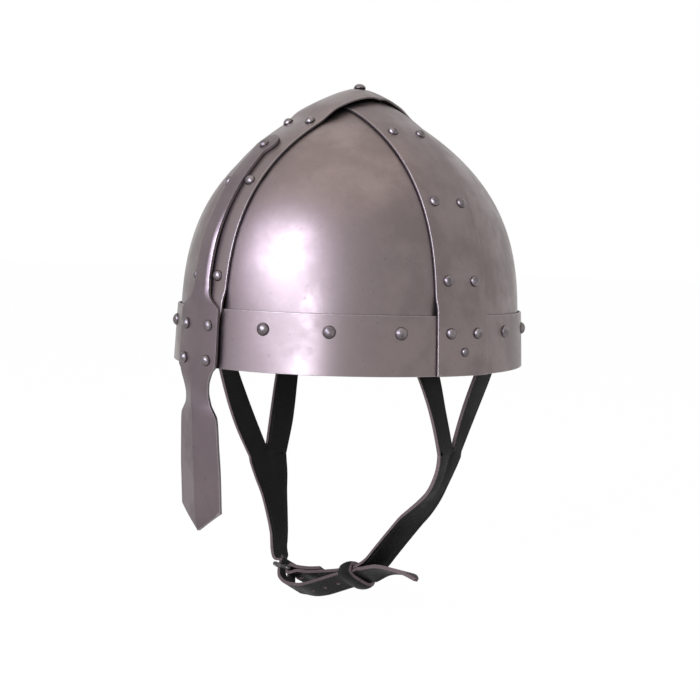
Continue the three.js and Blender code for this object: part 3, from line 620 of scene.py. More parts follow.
brushing = brushing_group()
patina = patina_group()
border_mask = edge_group()
leather_grain = grain_group()
print("shader groups:", [tree.name for tree in (brushing, patina, border_mask, leather_grain)])


# %% What every material starts with
def effect(tree, group, values):
    """Place a shader group in a material and give its outputs."""
    return place_node(tree, "ShaderNodeGroup", values, node_tree=group).outputs


def new_material(name):
    """A material, its tree, its shader, and where it reads its place, its UV map and its edge distance."""
    material = bpy.data.materials.new(name)
    tree = new_nodes(material)
    shader = tree.nodes.new("ShaderNodeBsdfPrincipled")
    out = tree.nodes.new("ShaderNodeOutputMaterial")
    tree.links.new(shader.outputs[0], out.inputs["Surface"])
    where = tree.nodes.new("ShaderNodeTexCoord").outputs
    return material, tree, shader, where, stored(tree, "edge")


def bump(tree, shader, height, depth):
    node = place_node(tree, "ShaderNodeBump", {"Height": height, "Distance": depth, "Strength": 1.0})
    tree.links.new(node.outputs[0], shader.inputs["Normal"])


# %% [markdown]
# ## Steel
# The plates are cold-rolled steel, polished to a soft satin and lightly oiled. A mirror would be too
# clean and a flat grey too dead, so the metal has a dark base colour under a white studio, a roughness
# that drifts with the patina, brushing along each sheet, and bright borders that are partly wear and
# partly a painted highlight along the cut edges. Inside the bowl the steel was never polished, so the
# same material turns darker and rougher where inner_side is 1.

# %% Sheet steel
brush_depth = 0.02 * MM
speck_colour = (0.04, 0.032, 0.03)
# The bright border colour is partly wear and partly a painted highlight along the steel's cut edges.
wear_and_sheen_colour = (0.34, 0.31, 0.315)
inside_colour = (0.075, 0.06, 0.055)


def steel(name, bright, dark, roughness):
    material, tree, shader, where, edge = new_material(name)
    shader.inputs["Metallic"].default_value = 1
    cloud = effect(tree, patina, {"Vector": where["Object"]})
    lines = effect(tree, brushing, {"Vector": where["UV"]})
    edge_band = effect(tree, border_mask, {"Vector": where["Object"], "Distance": edge, "Width": wear_and_sheen_width})
    inside = stored(tree, "inner_side")
    colour = blend_colours(tree, cloud["Clouds"], dark, bright)
    # Dark specks, then a bright border that is partly wear and partly a painted highlight, then the darker
    # inner side.
    for mask, strength, tint in (
        (cloud["Specks"], 0.18, speck_colour),
        (edge_band["Mask"], 0.5, wear_and_sheen_colour),
        (inside, 0.75, inside_colour),
    ):
        colour = blend_colours(tree, math_node(tree, "MULTIPLY", mask, strength), colour, tint)
    tree.links.new(colour, shader.inputs["Base Color"])
    soft = remap(tree, cloud["Clouds"], 0, 1, roughness + 0.06, roughness - 0.04)
    lined = math_node(tree, "MULTIPLY_ADD", lines["Height"], 0.08, -0.04)
    rough = math_node(tree, "ADD", soft, lined)
    rough = math_node(tree, "ADD", rough, math_node(tree, "MULTIPLY", inside, 0.22))
    tree.links.new(rough, shader.inputs["Roughness"])
    height = math_node(tree, "ADD", lines["Height"], math_node(tree, "MULTIPLY", cloud["Specks"], -0.8))
    bump(tree, shader, height, brush_depth)
    return material


bowl_steel = steel("bowl_steel", bright=(0.212, 0.172, 0.172), dark=(0.17, 0.138, 0.136), roughness=0.36)
guard_steel = steel("guard_steel", bright=(0.168, 0.134, 0.141), dark=(0.134, 0.106, 0.112), roughness=0.4)
print("sheet steels:", bowl_steel.name, guard_steel.name)

# %% Rivet steel and buckle metal
hammer_depth = 0.25 * MM
pit_depth = 0.05 * MM
# Painted shade round the foot of each rivet head, standing in for its contact shadow.
foot_shade_colour = (0.03, 0.024, 0.022)


def clouded_metal(name, cloud_scale, bright, dark, rough, polished):
    """Small metal parts start alike: clouds blend two tones and two roughnesses."""
    material, tree, shader, where, _ = new_material(name)
    shader.inputs["Metallic"].default_value = 1
    values = {"Vector": where["Object"], "Scale": cloud_scale, "Speck Scale": 900}
    clouds = effect(tree, patina, values)["Clouds"]
    tree.links.new(remap(tree, clouds, 0, 1, rough, polished), shader.inputs["Roughness"])
    return material, tree, shader, where["Object"], blend_colours(tree, clouds, dark, bright)


def hammered_steel():
    """Rivet heads: brighter, with the flats of many hammer blows and painted shade low on the head, where it
    meets the sheet.
    """
    material, tree, shader, place, colour = clouded_metal(
        "rivet_steel", 260, bright=(0.21, 0.185, 0.19), dark=(0.11, 0.093, 0.098), rough=0.42, polished=0.3)
    # Painted shade: each head darkens towards its foot.
    foot_shade = remap(tree, stored(tree, "low"), 0.0, 0.45, 0.85, 0.0)
    tree.links.new(blend_colours(tree, foot_shade, colour, foot_shade_colour), shader.inputs["Base Color"])
    bump(tree, shader, noise(tree, place, 520, detail=2, roughness=0.5), hammer_depth)
    return material


def dark_metal():
    """The buckle: nearly black, and pitted finely all over."""
    material, tree, shader, place, colour = clouded_metal(
        "buckle_metal", 240, bright=(0.16, 0.145, 0.14), dark=(0.045, 0.04, 0.04), rough=0.5, polished=0.3)
    tree.links.new(colour, shader.inputs["Base Color"])
    bump(tree, shader, noise(tree, place, 900, detail=3, roughness=0.6), pit_depth)
    return material


rivet_steel = hammered_steel()
buckle_metal = dark_metal()
print("small metals:", rivet_steel.name, buckle_metal.name)

# %% [markdown]
# ## Leather
# The chin strap is black on its two faces and brown where it was cut, because the dye doesn't reach
# the middle of the hide. So the edge distance chooses between the two colours, and it also places
# the line that is pressed beside each edge. The liner is brown hide with its rough side out. Real
# leather grain is about a millimetre across.

# %% Leather materials
line_place = 2.2 * MM
line_half = 0.45 * MM
grain_depth = 0.3 * MM
strap_cut_width = 0.55 * MM
liner_cut_width = 1.2 * MM
fibre_share = 0.45


def leather(name, face, creased, cut, roughness, shine, cut_width, cells):
    material, tree, shader, where, edge = new_material(name)
    grain = effect(tree, leather_grain, {"Vector": where["Object"], "Cells": cells})
    cloud = effect(tree, patina, {"Vector": where["Object"], "Scale": 70, "Speck Scale": 700})
    edge_band = effect(tree, border_mask, {"Vector": where["Object"], "Distance": edge, "Width": cut_width})
    colour = blend_colours(tree, cloud["Clouds"], face, creased)
    colour = blend_colours(tree, math_node(tree, "MULTIPLY", grain["Creases"], 0.5), colour, creased)
    strands = noise(tree, where["Object"], 2400, detail=2, roughness=0.6)
    fibres = blend_colours(tree, strands, cut, tuple(fibre_share * c for c in cut))
    colour = blend_colours(tree, edge_band["Mask"], colour, fibres)
    tree.links.new(colour, shader.inputs["Base Color"])
    rough = remap(tree, cloud["Clouds"], 0, 1, roughness, roughness + 0.12)
    rough = math_node(tree, "ADD", rough, math_node(tree, "MULTIPLY", edge_band["Mask"], 0.2))
    tree.links.new(rough, shader.inputs["Roughness"])
    beside_line = math_node(tree, "ABSOLUTE", math_node(tree, "SUBTRACT", edge, line_place))
    line = remap(tree, beside_line, line_half, 0)
    height = math_node(tree, "SUBTRACT", grain["Height"], math_node(tree, "MULTIPLY", line, 1.6))
    bump(tree, shader, height, grain_depth)
    shader.inputs["Specular IOR Level"].default_value = shine
    return material


strap_leather = leather(
    "strap_leather", face=(0.0035, 0.003, 0.003), creased=(0.007, 0.006, 0.0055), cut=(0.11, 0.083, 0.078),
    roughness=0.48, shine=0.1, cut_width=strap_cut_width, cells=700)
liner_leather = leather(
    "liner_leather", face=(0.1, 0.055, 0.03), creased=(0.055, 0.03, 0.017), cut=(0.2, 0.12, 0.07),
    roughness=0.68, shine=0.4, cut_width=liner_cut_width, cells=600)
print("leathers:", strap_leather.name, liner_leather.name)

# %% Waxed thread
strand_depth = 0.1 * MM


def thread_material():
    material, tree, shader, where, _ = new_material("waxed_thread")
    values = {"Vector": where["Object"], "Along": 1500, "Across": 3500}
    strands = effect(tree, brushing, values)["Height"]
    colour = blend_colours(tree, strands, (0.06, 0.045, 0.035), (0.2, 0.16, 0.12))
    tree.links.new(colour, shader.inputs["Base Color"])
    tree.links.new(remap(tree, strands, 0, 1, 0.7, 0.5), shader.inputs["Roughness"])
    bump(tree, shader, strands, strand_depth)
    return material


waxed_thread = thread_material()
print("thread:", waxed_thread.name)

# %% [markdown]
# ## The four dome plates
# Each plate is a quarter of the bowl, tucked a few millimetres under its neighbours' bands. A plate
# could be cut out of one whole dome, but a grid that follows the plate's own borders gives clean edges.

# %% Dome plates
edge_radius = 0.35 * MM
plate_bottom = 9 * MM
plate_lap = 3.5 * MM
plate_crown = 13 * MM
plate_levels = 50
plate_columns = 44
crest_line = meridian("crest")


def plate_grid(front, left, offset):
    """A quarter of the bowl; front and left are 1 or -1."""
    start = np.interp(-plate_bottom, -height_at(crest_line[1])[::-1], crest_line[0][::-1])
    lengths = np.linspace(start, crest_line[0][-1] - plate_crown, plate_levels)
    share = np.interp(lengths, *crest_line)[:, None]
    side_edge = (plate_lap + front * side_forward) / half_length
    first = np.arcsin((plate_lap / half_width / share) ** (plan_power / 2))
    last = np.arccos(bent(side_edge / share, plan_power / 2))
    angle = first + (last - first) * np.linspace(0, 1, plate_columns)
    x = half_width * share * np.sin(angle) ** (2 / plan_power)
    y = -half_length * share * bent(np.cos(angle), 2 / plan_power)
    points = np.stack([x, y, height_at(share) + 0 * angle], axis=-1)
    return lifted(points, offset + 0 * angle) * np.array([left, front, 1])


for front_name, front in (("front", 1), ("rear", -1)):
    for left_name, left in (("left", 1), ("right", -1)):
        name = f"dome_plate_{front_name}_{left_name}"
        mesh = sheet_mesh(name, plate_grid(front, left, 0), plate_grid(front, left, -sheet))
        dress(name, [mesh], edge_radius, bowl_steel, "bowl_steel")

# %% [markdown]
# ## Bands and brow band
# The crest band and the side band run from rim to rim over the bowl, and the brow band is a welded
# ring. Each band's path is worked out from the bowl's rule, stepped outward where it passes over the
# brow band, and the crest band steps once more where it passes over the side band at the crown.

# %% Bands
band_steps = 110
covered_share = 0.18
band_columns = np.array([-0.5, -0.485, -0.4, -0.3, -0.2, -0.1, 0, 0.1, 0.2, 0.3, 0.4, 0.485, 0.5])


def band_grid(way, face, width, middle, offset):
    """A band's grid; the crest band narrows over the brow band, where the nose guard covers it."""
    shares = meridian_shares(way, band_steps)[:, None]
    over_brow = 1 - smooth(1 + (height_at(np.abs(shares)) - brow_height) / foot_step)
    covered = (shares < 0) * (way == "crest") * over_brow
    points = band_points(way, shares, middle + band_columns * width * (1 - covered_share * covered))
    return lifted(points, face(points) + offset)


for name, way, face, width, middle in (
    ("crest_band", "crest", crest_face, crest_width, 0),
    ("side_band", "side", side_face, side_width, -side_forward),
):
    faces = [band_grid(way, face, width, middle, offset) for offset in (sheet, 0)]
    dress(name, [sheet_mesh(name, *faces)], edge_radius, bowl_steel, "bowl_steel")

# %% Brow band
brow_steps = 240


def brow_points(angle, height, offset):
    """Points of the brow band's outer face, from an angle (0 is the front) and a height."""
    flare = brow_flare * height / brow_height
    length, width = rim_half_length - flare, rim_half_width - flare
    across, ahead = oval(angle)
    points = np.stack([width * across, -length * ahead, height + 0 * angle], axis=-1)
    out = unit(np.stack([
        bent(across, plan_power - 1) / width,
        -bent(ahead, plan_power - 1) / length,
        0 * angle + 0 * height,
    ], axis=-1))
    return points + out * offset, out


brow_angles = full_turn(brow_steps)[:, None]
brow_levels = brow_height * np.array([0, 0.02, 0.2, 0.4, 0.6, 0.8, 0.98, 1])
faces = [brow_points(brow_angles, brow_levels, offset)[0] for offset in (0, -sheet)]
dress("brow_band", [sheet_mesh("brow_band", *faces, ring=True)], edge_radius, bowl_steel, "bowl_steel")

# %% [markdown]
# ## The nose guard
# One plate makes the whole guard: a creased blade below the rim, a narrow waist, a wide piece on the
# brow, and a stem that runs up over the crest band to a small round end. Its half widths are read from
# three short tables of shares and smoothed, so that the waist curves as a filed edge does, while the
# crease down the middle stays crisp because two columns of the grid lie close beside it.

# %% The guard's sizes and outline
guard_sheet = 1.8 * MM
guard_depth = 96 * MM
guard_corner_rise = 13 * MM
guard_crease = 4 * MM
guard_stand_off = 1.6 * MM
guard_half_width = 19 * MM
stem_half_width = 6.2 * MM
stem_length = 151 * MM
tip_back = 3 * MM
guard_fold_share = 0.219
flat_share = 0.8
drop_share = 0.6
guard_width_shares = [
    [-1, 1], [-0.646, 1], [-0.458, 0.95], [-0.344, 0.92], [-0.296, 0.885], [-0.255, 0.74],
    [-0.219, 0.61], [-0.16, 0.553], [-0.1, 0.61], [-0.052, 0.72], [-0.019, 0.8],
]
brow_width_shares = [
    [0, 0.85], [0.03, 0.885], [0.18, 0.87], [0.212, 0.875], [0.229, 0.8], [0.246, 0.63],
    [0.266, 0.47], [0.293, 0.37], [0.331, 0.33],
]
tip_width_shares = [
    [4, 1], [3.3, 0.96], [2.75, 0.9], [2.3, 1.05], [1.8, 1.28], [1.3, 1.36], [0.85, 1.25], [0.45, 0.98],
    [0.18, 0.63], [0.04, 0.3], [0, 0.12],
]
guard_lean_shares = [
    [0, 0], [0.125, -0.18], [0.17, -0.22], [0.32, 0.03], [0.48, 0.23], [0.69, 0.55], [0.9, 0.88], [1, 1.4],
]
guard_columns = np.array([-1, -0.975, -0.8, -0.6, -0.4, -0.2, -0.05, 0, 0.05, 0.2, 0.4, 0.6, 0.8, 0.975, 1])
guard_foot_rows = 8
guard_rows = 60
tip_rows = 50
tiny = 1e-12
print("guard, mm: from", -round(guard_depth / MM), "to", round(stem_length / MM), "along its middle")


# %% Nose guard
def smooth_table(table, at):
    """Read a table through a curve that never overshoots its own steps."""
    x, y = np.array(table, dtype=float).T
    if x[0] > x[-1]:
        x, y = x[::-1], y[::-1]
    steps = np.diff(y) / np.diff(x)
    mean = 2 / (1 / (steps[1:] + tiny) + 1 / (steps[:-1] + tiny))
    inner = np.where(steps[1:] * steps[:-1] > 0, mean, 0)
    slopes = np.concatenate([[steps[0]], inner, [steps[-1]]])
    i = np.clip(np.searchsorted(x, at) - 1, 0, len(x) - 2)
    width = x[i + 1] - x[i]
    t = (at - x[i]) / width
    a, b = y[i], y[i + 1]
    bend = t * (1 - t) * ((1 - t) * (slopes[i] * width - (b - a)) - t * (slopes[i + 1] * width - (b - a)))
    return a + (b - a) * t + bend


def guard_face(points, across):
    """How far the guard's inner face stands off the plates: the stem's borders are bent down to them."""
    rise = smooth((points[..., 2] - brow_height) / foot_step)
    fall = 1 - smooth((points[..., 2] - 2 * brow_height) / brow_height)
    border = np.abs(across) / np.maximum(np.max(np.abs(across), axis=-1, keepdims=True), edge_radius)
    bend = 1 - drop_share * smooth((border - flat_share) / (1 - flat_share))
    return crest_face(points) + sheet + layer_gap + guard_stand_off * rise * fall * bend


def stem_points(lengths, across, offset):
    """Points of the stem, from lengths up from the rim and distances across it."""
    shares = -np.interp(lengths, *crest_line)
    points = band_points("crest", shares[:, None], across)
    return lifted(points, guard_face(points, across) + offset)


# %% The guard below and above the rim
def blade_points(offset):
    """The guard below the rim, from its pointed lower edge up."""
    foot = guard_width_shares[1][0]
    foot_shares = np.linspace(0, 1, guard_foot_rows, endpoint=False)
    above = np.linspace(foot, guard_width_shares[-1][0], guard_rows)
    depths = np.concatenate([0 * foot_shares - 1, above])
    corner = guard_corner_rise - guard_depth
    height = np.concatenate([corner + foot_shares * (foot * guard_depth - corner), above * guard_depth])
    point = np.concatenate([guard_corner_rise * (1 - foot_shares), 0 * above])
    half = guard_half_width * smooth_table(guard_width_shares, depths)
    across = half[:, None] * guard_columns
    z = height[:, None] - point[:, None] * (1 - np.abs(guard_columns))
    depth = -z / guard_depth
    folded = smooth(depth / guard_fold_share)
    middle = stem_points(np.zeros(1), np.zeros((1, 1)), 0)[0, 0, 1]
    bowed = stem_points(np.zeros(len(across)), across, 0)[..., 1] - middle
    creased = guard_crease * np.abs(guard_columns)
    lean = guard_crease * smooth_table(guard_lean_shares, depth)
    y = middle + lean + bowed + (creased - bowed) * folded
    slope = (2 * bowed + (creased - 2 * bowed) * folded) / half[:, None]
    out = unit(np.stack([np.sign(guard_columns) * slope, -1 + 0 * z, 0 * z], axis=-1))
    return np.stack([across, y, z], axis=-1) + out * offset


def upper_points(offset):
    """The brow piece and the stem, from the rim up."""
    brow = stem_length * np.linspace(0, brow_width_shares[-1][0], guard_rows)
    end = stem_length - tip_back
    tip = end - stem_half_width * np.linspace(tip_width_shares[0][0], 0, tip_rows)
    stem = np.linspace(brow[-1], tip[0], guard_rows)[1:-1]
    brow_half = guard_half_width * smooth_table(brow_width_shares, brow / stem_length)
    tip_half = stem_half_width * smooth_table(tip_width_shares, (end - tip) / stem_half_width)
    stem_half = np.interp(stem, [brow[-1], brow[-1] + stem_half_width, tip[0]],
                          [brow_half[-1], stem_half_width, stem_half_width])
    half = np.concatenate([brow_half, stem_half, tip_half])
    return stem_points(np.concatenate([brow, stem, tip]), half[:, None] * guard_columns, offset)


def guard_grid(offset):
    return np.concatenate([blade_points(offset), upper_points(offset)])


mesh = sheet_mesh("nasal_guard", guard_grid(guard_sheet), guard_grid(0))
dress("nasal_guard", [mesh], edge_radius, guard_steel, "guard_steel")

# %% [markdown]
# ## Rivets
# Every joint of the helmet is held by rivets whose heads were hammered round, so no two are alike.
# They repeat, so Geometry Nodes place them: each point carries its way out and its size, a unit dome
# is instanced there, the instances are made real, and noise in the object's own space dents each one
# differently. The points stand on the CAD rivets' own axes, and small tails show inside the bowl.

# %% What every Geometry Nodes tree starts and ends with
def geometry_tree(name, numbers):
    """A tree with one geometry and named numbers going in, and one geometry coming out."""
    tree = bpy.data.node_groups.new(name, "GeometryNodeTree")
    face = tree.interface
    face.new_socket("Geometry", in_out="INPUT", socket_type="NodeSocketGeometry")
    for label, value in numbers.items():
        kind = "NodeSocketInt" if isinstance(value, int) else "NodeSocketFloat"
        face.new_socket(label, in_out="INPUT", socket_type=kind).default_value = value
    face.new_socket("Geometry", in_out="OUTPUT", socket_type="NodeSocketGeometry")
    return tree, tree.nodes.new("NodeGroupInput").outputs


def made_real(tree, instances):
    return place_node(tree, "GeometryNodeRealizeInstances", {0: instances}).outputs[0]


def end_tree(tree, geometry, material):
    """Smooth faces and a material, as the last steps of a tree."""
    soft = place_node(tree, "GeometryNodeSetShadeSmooth", {"Geometry": geometry})
    done = place_node(tree, "GeometryNodeSetMaterial", {"Geometry": soft.outputs[0], "Material": material})
    place_node(tree, "NodeGroupOutput", {0: done.outputs[0]})


def socket_id(tree, label):
    for item in tree.interface.items_tree:
        if item.in_out == "INPUT" and item.name == label:
            return item.identifier


def made_by_tree(name, points, values, tree, settings, edges=()):
    """A mesh of points with vector attributes, turned into a plain mesh by a Geometry Nodes tree."""
    mesh = bpy.data.meshes.new(name)
    mesh.from_pydata(np.asarray(points).tolist(), list(edges), [])
    for label, vectors in values.items():
        attribute = mesh.attributes.new(label, "FLOAT_VECTOR", "POINT")
        attribute.data.foreach_set("vector", np.asarray(vectors, dtype=np.float32).ravel())
    obj = bpy.data.objects.new(name, mesh)
    scene.collection.objects.link(obj)
    nodes = obj.modifiers.new("nodes", "NODES")
    nodes.node_group = tree
    for label, value in settings.items():
        nodes[socket_id(tree, label)] = value
    keep_result(obj)
    return obj


# %% The rivet tree
rivet_rise = 2.3 * MM
rivet_radius = 3.3 * MM
tail_radius = 2.7 * MM
tail_rise = 0.9 * MM
small_head_share = 0.82
large_head_share = 1.15
sunk_foot = 0.35 * MM
crown_seat = 2 * MM
rivet_numbers = {"Dent Depth": 0.2 * MM, "Dent Scale": 300.0, "Seed": 7}


def rivet_tree(material):
    tree, given = geometry_tree("rivet_domes", rivet_numbers)
    dome = place_node(tree, "GeometryNodeMeshUVSphere", {"Segments": 20, "Rings": 12, "Radius": 1})
    place = tree.nodes.new("GeometryNodeInputPosition").outputs[0]
    x, y, z = place_node(tree, "ShaderNodeSeparateXYZ", {0: place}).outputs
    # The dome's height is kept as low, which places the painted shade at each head's foot.
    low = place_node(tree, "GeometryNodeStoreNamedAttribute",
                     {"Geometry": dome.outputs["Mesh"], "Name": "low", "Value": z},
                     data_type="FLOAT", domain="POINT")
    flat_foot = math_node(tree, "MAXIMUM", z, -0.05)
    moved = place_node(tree, "ShaderNodeCombineXYZ", {0: x, 1: y, 2: flat_foot})
    shape = place_node(tree, "GeometryNodeSetPosition",
                       {"Geometry": low.outputs[0], "Position": moved.outputs[0]})
    out, size = (place_node(tree, "GeometryNodeInputNamedAttribute", {"Name": name},
                            data_type="FLOAT_VECTOR").outputs[0] for name in ("out", "size"))
    turn = place_node(tree, "FunctionNodeAlignRotationToVector", {"Vector": out}, axis="Z")
    heads = place_node(tree, "GeometryNodeInstanceOnPoints", {
        "Points": given["Geometry"], "Instance": shape.outputs[0], "Rotation": turn.outputs[0],
        "Scale": size})
    spin = place_node(tree, "FunctionNodeRandomValue", {2: 0.0, 3: 2 * math.pi, "Seed": given["Seed"]},
                      data_type="FLOAT")
    about = place_node(tree, "ShaderNodeCombineXYZ", {2: spin.outputs[1]})
    spun = place_node(tree, "GeometryNodeRotateInstances",
                      {"Instances": heads.outputs[0], "Rotation": about.outputs[0]})
    dents = place_node(tree, "ShaderNodeTexNoise", {"Scale": given["Dent Scale"], "Detail": 1})
    centred = math_node(tree, "SUBTRACT", dents.outputs[0], 0.5)
    depth = math_node(tree, "MULTIPLY", math_node(tree, "MULTIPLY", centred, given["Dent Depth"]), 2.0)
    way = tree.nodes.new("GeometryNodeInputNormal").outputs[0]
    push = place_node(tree, "ShaderNodeVectorMath", {0: way, "Scale": depth}, operation="SCALE")
    dented = place_node(tree, "GeometryNodeSetPosition",
                        {"Geometry": made_real(tree, spun.outputs[0]), "Offset": push.outputs[0]})
    end_tree(tree, dented.outputs[0], material)
    return tree


# %% Where the rivets stand
def axis_of(node, out, place):
    """The lowest and highest reach of a CAD rivet along its axis, from a place on it."""
    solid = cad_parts[node]
    points = np.array([solid.matrix_world @ v.co for v in solid.data.vertices])
    reach = (points - place) @ out
    return reach.min(), reach.max()


def rivet_place(way, side, across, height):
    """A point of the plates' surface under a band, and the way out of it."""
    half, across_half = halves_of(way)
    share = share_at(height) ** plan_power - (abs(across) / across_half) ** plan_power
    along = side * half * max(share, 0) ** (1 / plan_power)
    point = np.array([across, along, height] if way == "crest" else [along, across, height])
    return point, normals_at(point)


pair_half = 10 * MM
brow_rivet_height = 24 * MM
low_rivet_height = 4.3 * MM
foot_rivet_height = 13.5 * MM
strap_rivet_height = 24 * MM
tip_rivet_back = 12.6 * MM
strap_drop = 160 * MM
crest_pair_shares = [0.315, 0.642, 0.867]
side_pair_shares = [0.324, 0.591, 0.836]
leg_middle_shares = {"left": [-0.193, 0.218], "right": [-0.284, 0.176]}
ring_rivet_turns = (25.4, 45.2, 66, 109, 131, 153)
rivets = {"crown_rivet": (np.array([0, 0, bowl_height]), np.array([0.0, 0, 1]), large_head_share)}
for front_name, front in (("front", -1), ("rear", 1)):
    for left_name, left in (("left", 1), ("right", -1)):
        across = front * pair_half - side_forward
        for i in range(3):
            crest = rivet_place("crest", front, left * pair_half, crest_pair_shares[i] * bowl_height)
            side = rivet_place("side", left, across, side_pair_shares[i] * bowl_height)
            rivets[f"crest_{front_name}_{left_name}_rivet_{i + 1}"] = (*crest, 1)
            rivets[f"side_{left_name}_{front_name}_rivet_{i + 1}"] = (*side, 1)
        rivets[f"crest_foot_{front_name}_{left_name}_rivet"] = (
            *rivet_place("crest", front, left * pair_half, brow_rivet_height), 1)
        rivets[f"side_foot_{left_name}_{front_name}_rivet"] = (
            *rivet_place("side", left, across, brow_rivet_height), 1)
for left_name, left in (("left", 1), ("right", -1)):
    rivets[f"side_foot_{left_name}_low_rivet"] = (
        *rivet_place("side", left, -side_forward, foot_rivet_height), small_head_share)
    rivets[f"guard_low_{left_name}_rivet"] = (
        *rivet_place("crest", -1, left * pair_half, low_rivet_height), 1)
    for i, leg_name in enumerate(("front", "rear")):
        across = leg_middle_shares[left_name][i] * strap_drop
        point, out = rivet_place("side", left, across, strap_rivet_height)
        rivets[f"strap_{left_name}_{leg_name}_rivet"] = (point, -out, small_head_share)
rivets["crest_foot_rear_low_rivet"] = (*rivet_place("crest", 1, 0, foot_rivet_height), small_head_share)
tip_height = height_at(np.interp(stem_length - tip_rivet_back, *crest_line))
rivets["guard_tip_rivet"] = (*rivet_place("crest", -1, 0, tip_height), 1)
print("rivets with solids:", len(rivets))


# %% Every head and tail
def rivet_points():
    """Places, ways out and sizes of every head and tail, with the plain rivets round the brow band."""
    rows = []
    for name, (place, out, scale) in rivets.items():
        low, high = axis_of(name, out, place)
        lift = crown_seat if name == "crown_rivet" else 0
        head = place + out * (high + lift - rivet_rise * scale - sunk_foot)
        tail = place + out * (low + tail_rise * scale + sunk_foot)
        for foot, way, radius, rise in (
            (head, out, rivet_radius * scale, rivet_rise * scale),
            (tail, -out, tail_radius * scale, tail_rise * scale),
        ):
            rows.append((foot, way, (radius, radius, rise + sunk_foot)))
    radius = large_head_share * rivet_radius
    for turn in ring_rivet_turns:
        for side in (-1, 1):
            place, out = brow_points(np.array(side * math.radians(turn)), brow_rivet_height, -sunk_foot)
            rows.append((place, out, (radius, radius, large_head_share * rivet_rise + sunk_foot)))
    return [np.array(column) for column in zip(*rows)]


places, ways, sizes = rivet_points()
print("heads and tails:", len(places))

# %% Make the rivets
domes = made_by_tree("rivet_heads_and_tails", places, {"out": ways, "size": sizes},
                     rivet_tree(rivet_steel), rivet_numbers)
settle(domes, "shell", "rivet_steel", *rivets)

# %% [markdown]
# ## The liner
# A leather band inside the bowl is held by the foot rivets. Eight tongues lean in from it, and a lace
# through their folded ends draws them to the wearer's head. The helmet rests on them, not on steel.
# The band and tongues are sheets like the plates, and stitches along the band are placed by nodes.

# %% Liner
liner_leather_size = 2 * MM
liner_bottom = 14 * MM
liner_top = 42 * MM
liner_tongues = 8
tongue_root = 56 * MM
tongue_end = 12 * MM
crown_ring = 30 * MM
crown_ring_height = 112 * MM
lace_radius = 1.3 * MM
hem_wall = 1.7 * MM
hem_gap = 1.1 * MM
liner_outer = sheet + layer_gap
liner_inner = liner_outer + liner_leather_size
soft_radius = 0.5 * MM
liner_steps = 144
round_sides = 20


def liner_points(angle, height, offset):
    """Points in line with the plates, from an angle (0 is the front) and a height."""
    share = share_at(height)
    across, ahead = oval(angle)
    x, y = half_width * share * across, -half_length * share * ahead
    points = np.stack([x, y, height + 0 * angle], axis=-1)
    return lifted(points, offset + 0 * points[..., 0])


def tongue_meshes(number):
    """One tongue with the folded hem at its end, as a sheet and a tube round the lace."""
    angle = (number + 0.5) / liner_tongues * 2 * math.pi
    out = np.array([math.sin(angle), -math.cos(angle), 0])
    beside = np.array([math.cos(angle), math.sin(angle), 0])
    hem_reach = crown_ring + lace_radius + hem_gap + hem_wall / 2
    end = out * hem_reach + np.array([0, 0, crown_ring_height])
    spread = 2 * tongue_root / (half_width + half_length)
    column_shares = np.array([-0.5, -0.48, -0.25, 0, 0.25, 0.48, 0.5])
    root = liner_points(angle + column_shares * spread, liner_top - liner_leather_size,
                        -(liner_outer + liner_inner) / 2)
    t = np.linspace(0, 1, 24)[:, None, None]
    middle = root + (end + np.outer(column_shares * tongue_end, beside) - root) * t
    slope = root[len(root) // 2] - end
    half = unit(np.cross(beside, unit(slope))) * liner_leather_size / 2
    tongue = sheet_mesh("tongue", middle + half, middle - half)
    turn = full_turn(round_sides)
    ring = np.stack([np.cos(turn), np.sin(turn)], axis=-1)
    across = np.linspace(-0.5, 0.5, 7) * tongue_end
    centre = out * crown_ring + np.array([0, 0, crown_ring_height])

    def tube(radius):
        circle = ring[:, :1] * out + ring[:, 1:] * np.array([0, 0, 1])
        return centre + circle[:, None, :] * radius + across[None, :, None] * beside

    hole = lace_radius + hem_gap
    return [tongue, sheet_mesh("hem", tube(hole + hem_wall), tube(hole), ring=True)]


def liner_grid(offset):
    angles = full_turn(liner_steps)[:, None]
    levels = liner_bottom + (liner_top - liner_bottom) * np.array([0, 0.03, 0.25, 0.5, 0.75, 0.97, 1])
    return liner_points(angles, levels, -offset)


meshes = [sheet_mesh("band", liner_grid(liner_outer), liner_grid(liner_inner), ring=True)]
for number in range(liner_tongues):
    meshes += tongue_meshes(number)
dress("liner", meshes, soft_radius, liner_leather, "liner_leather")


# %% A tube along a path
upright = 0.05


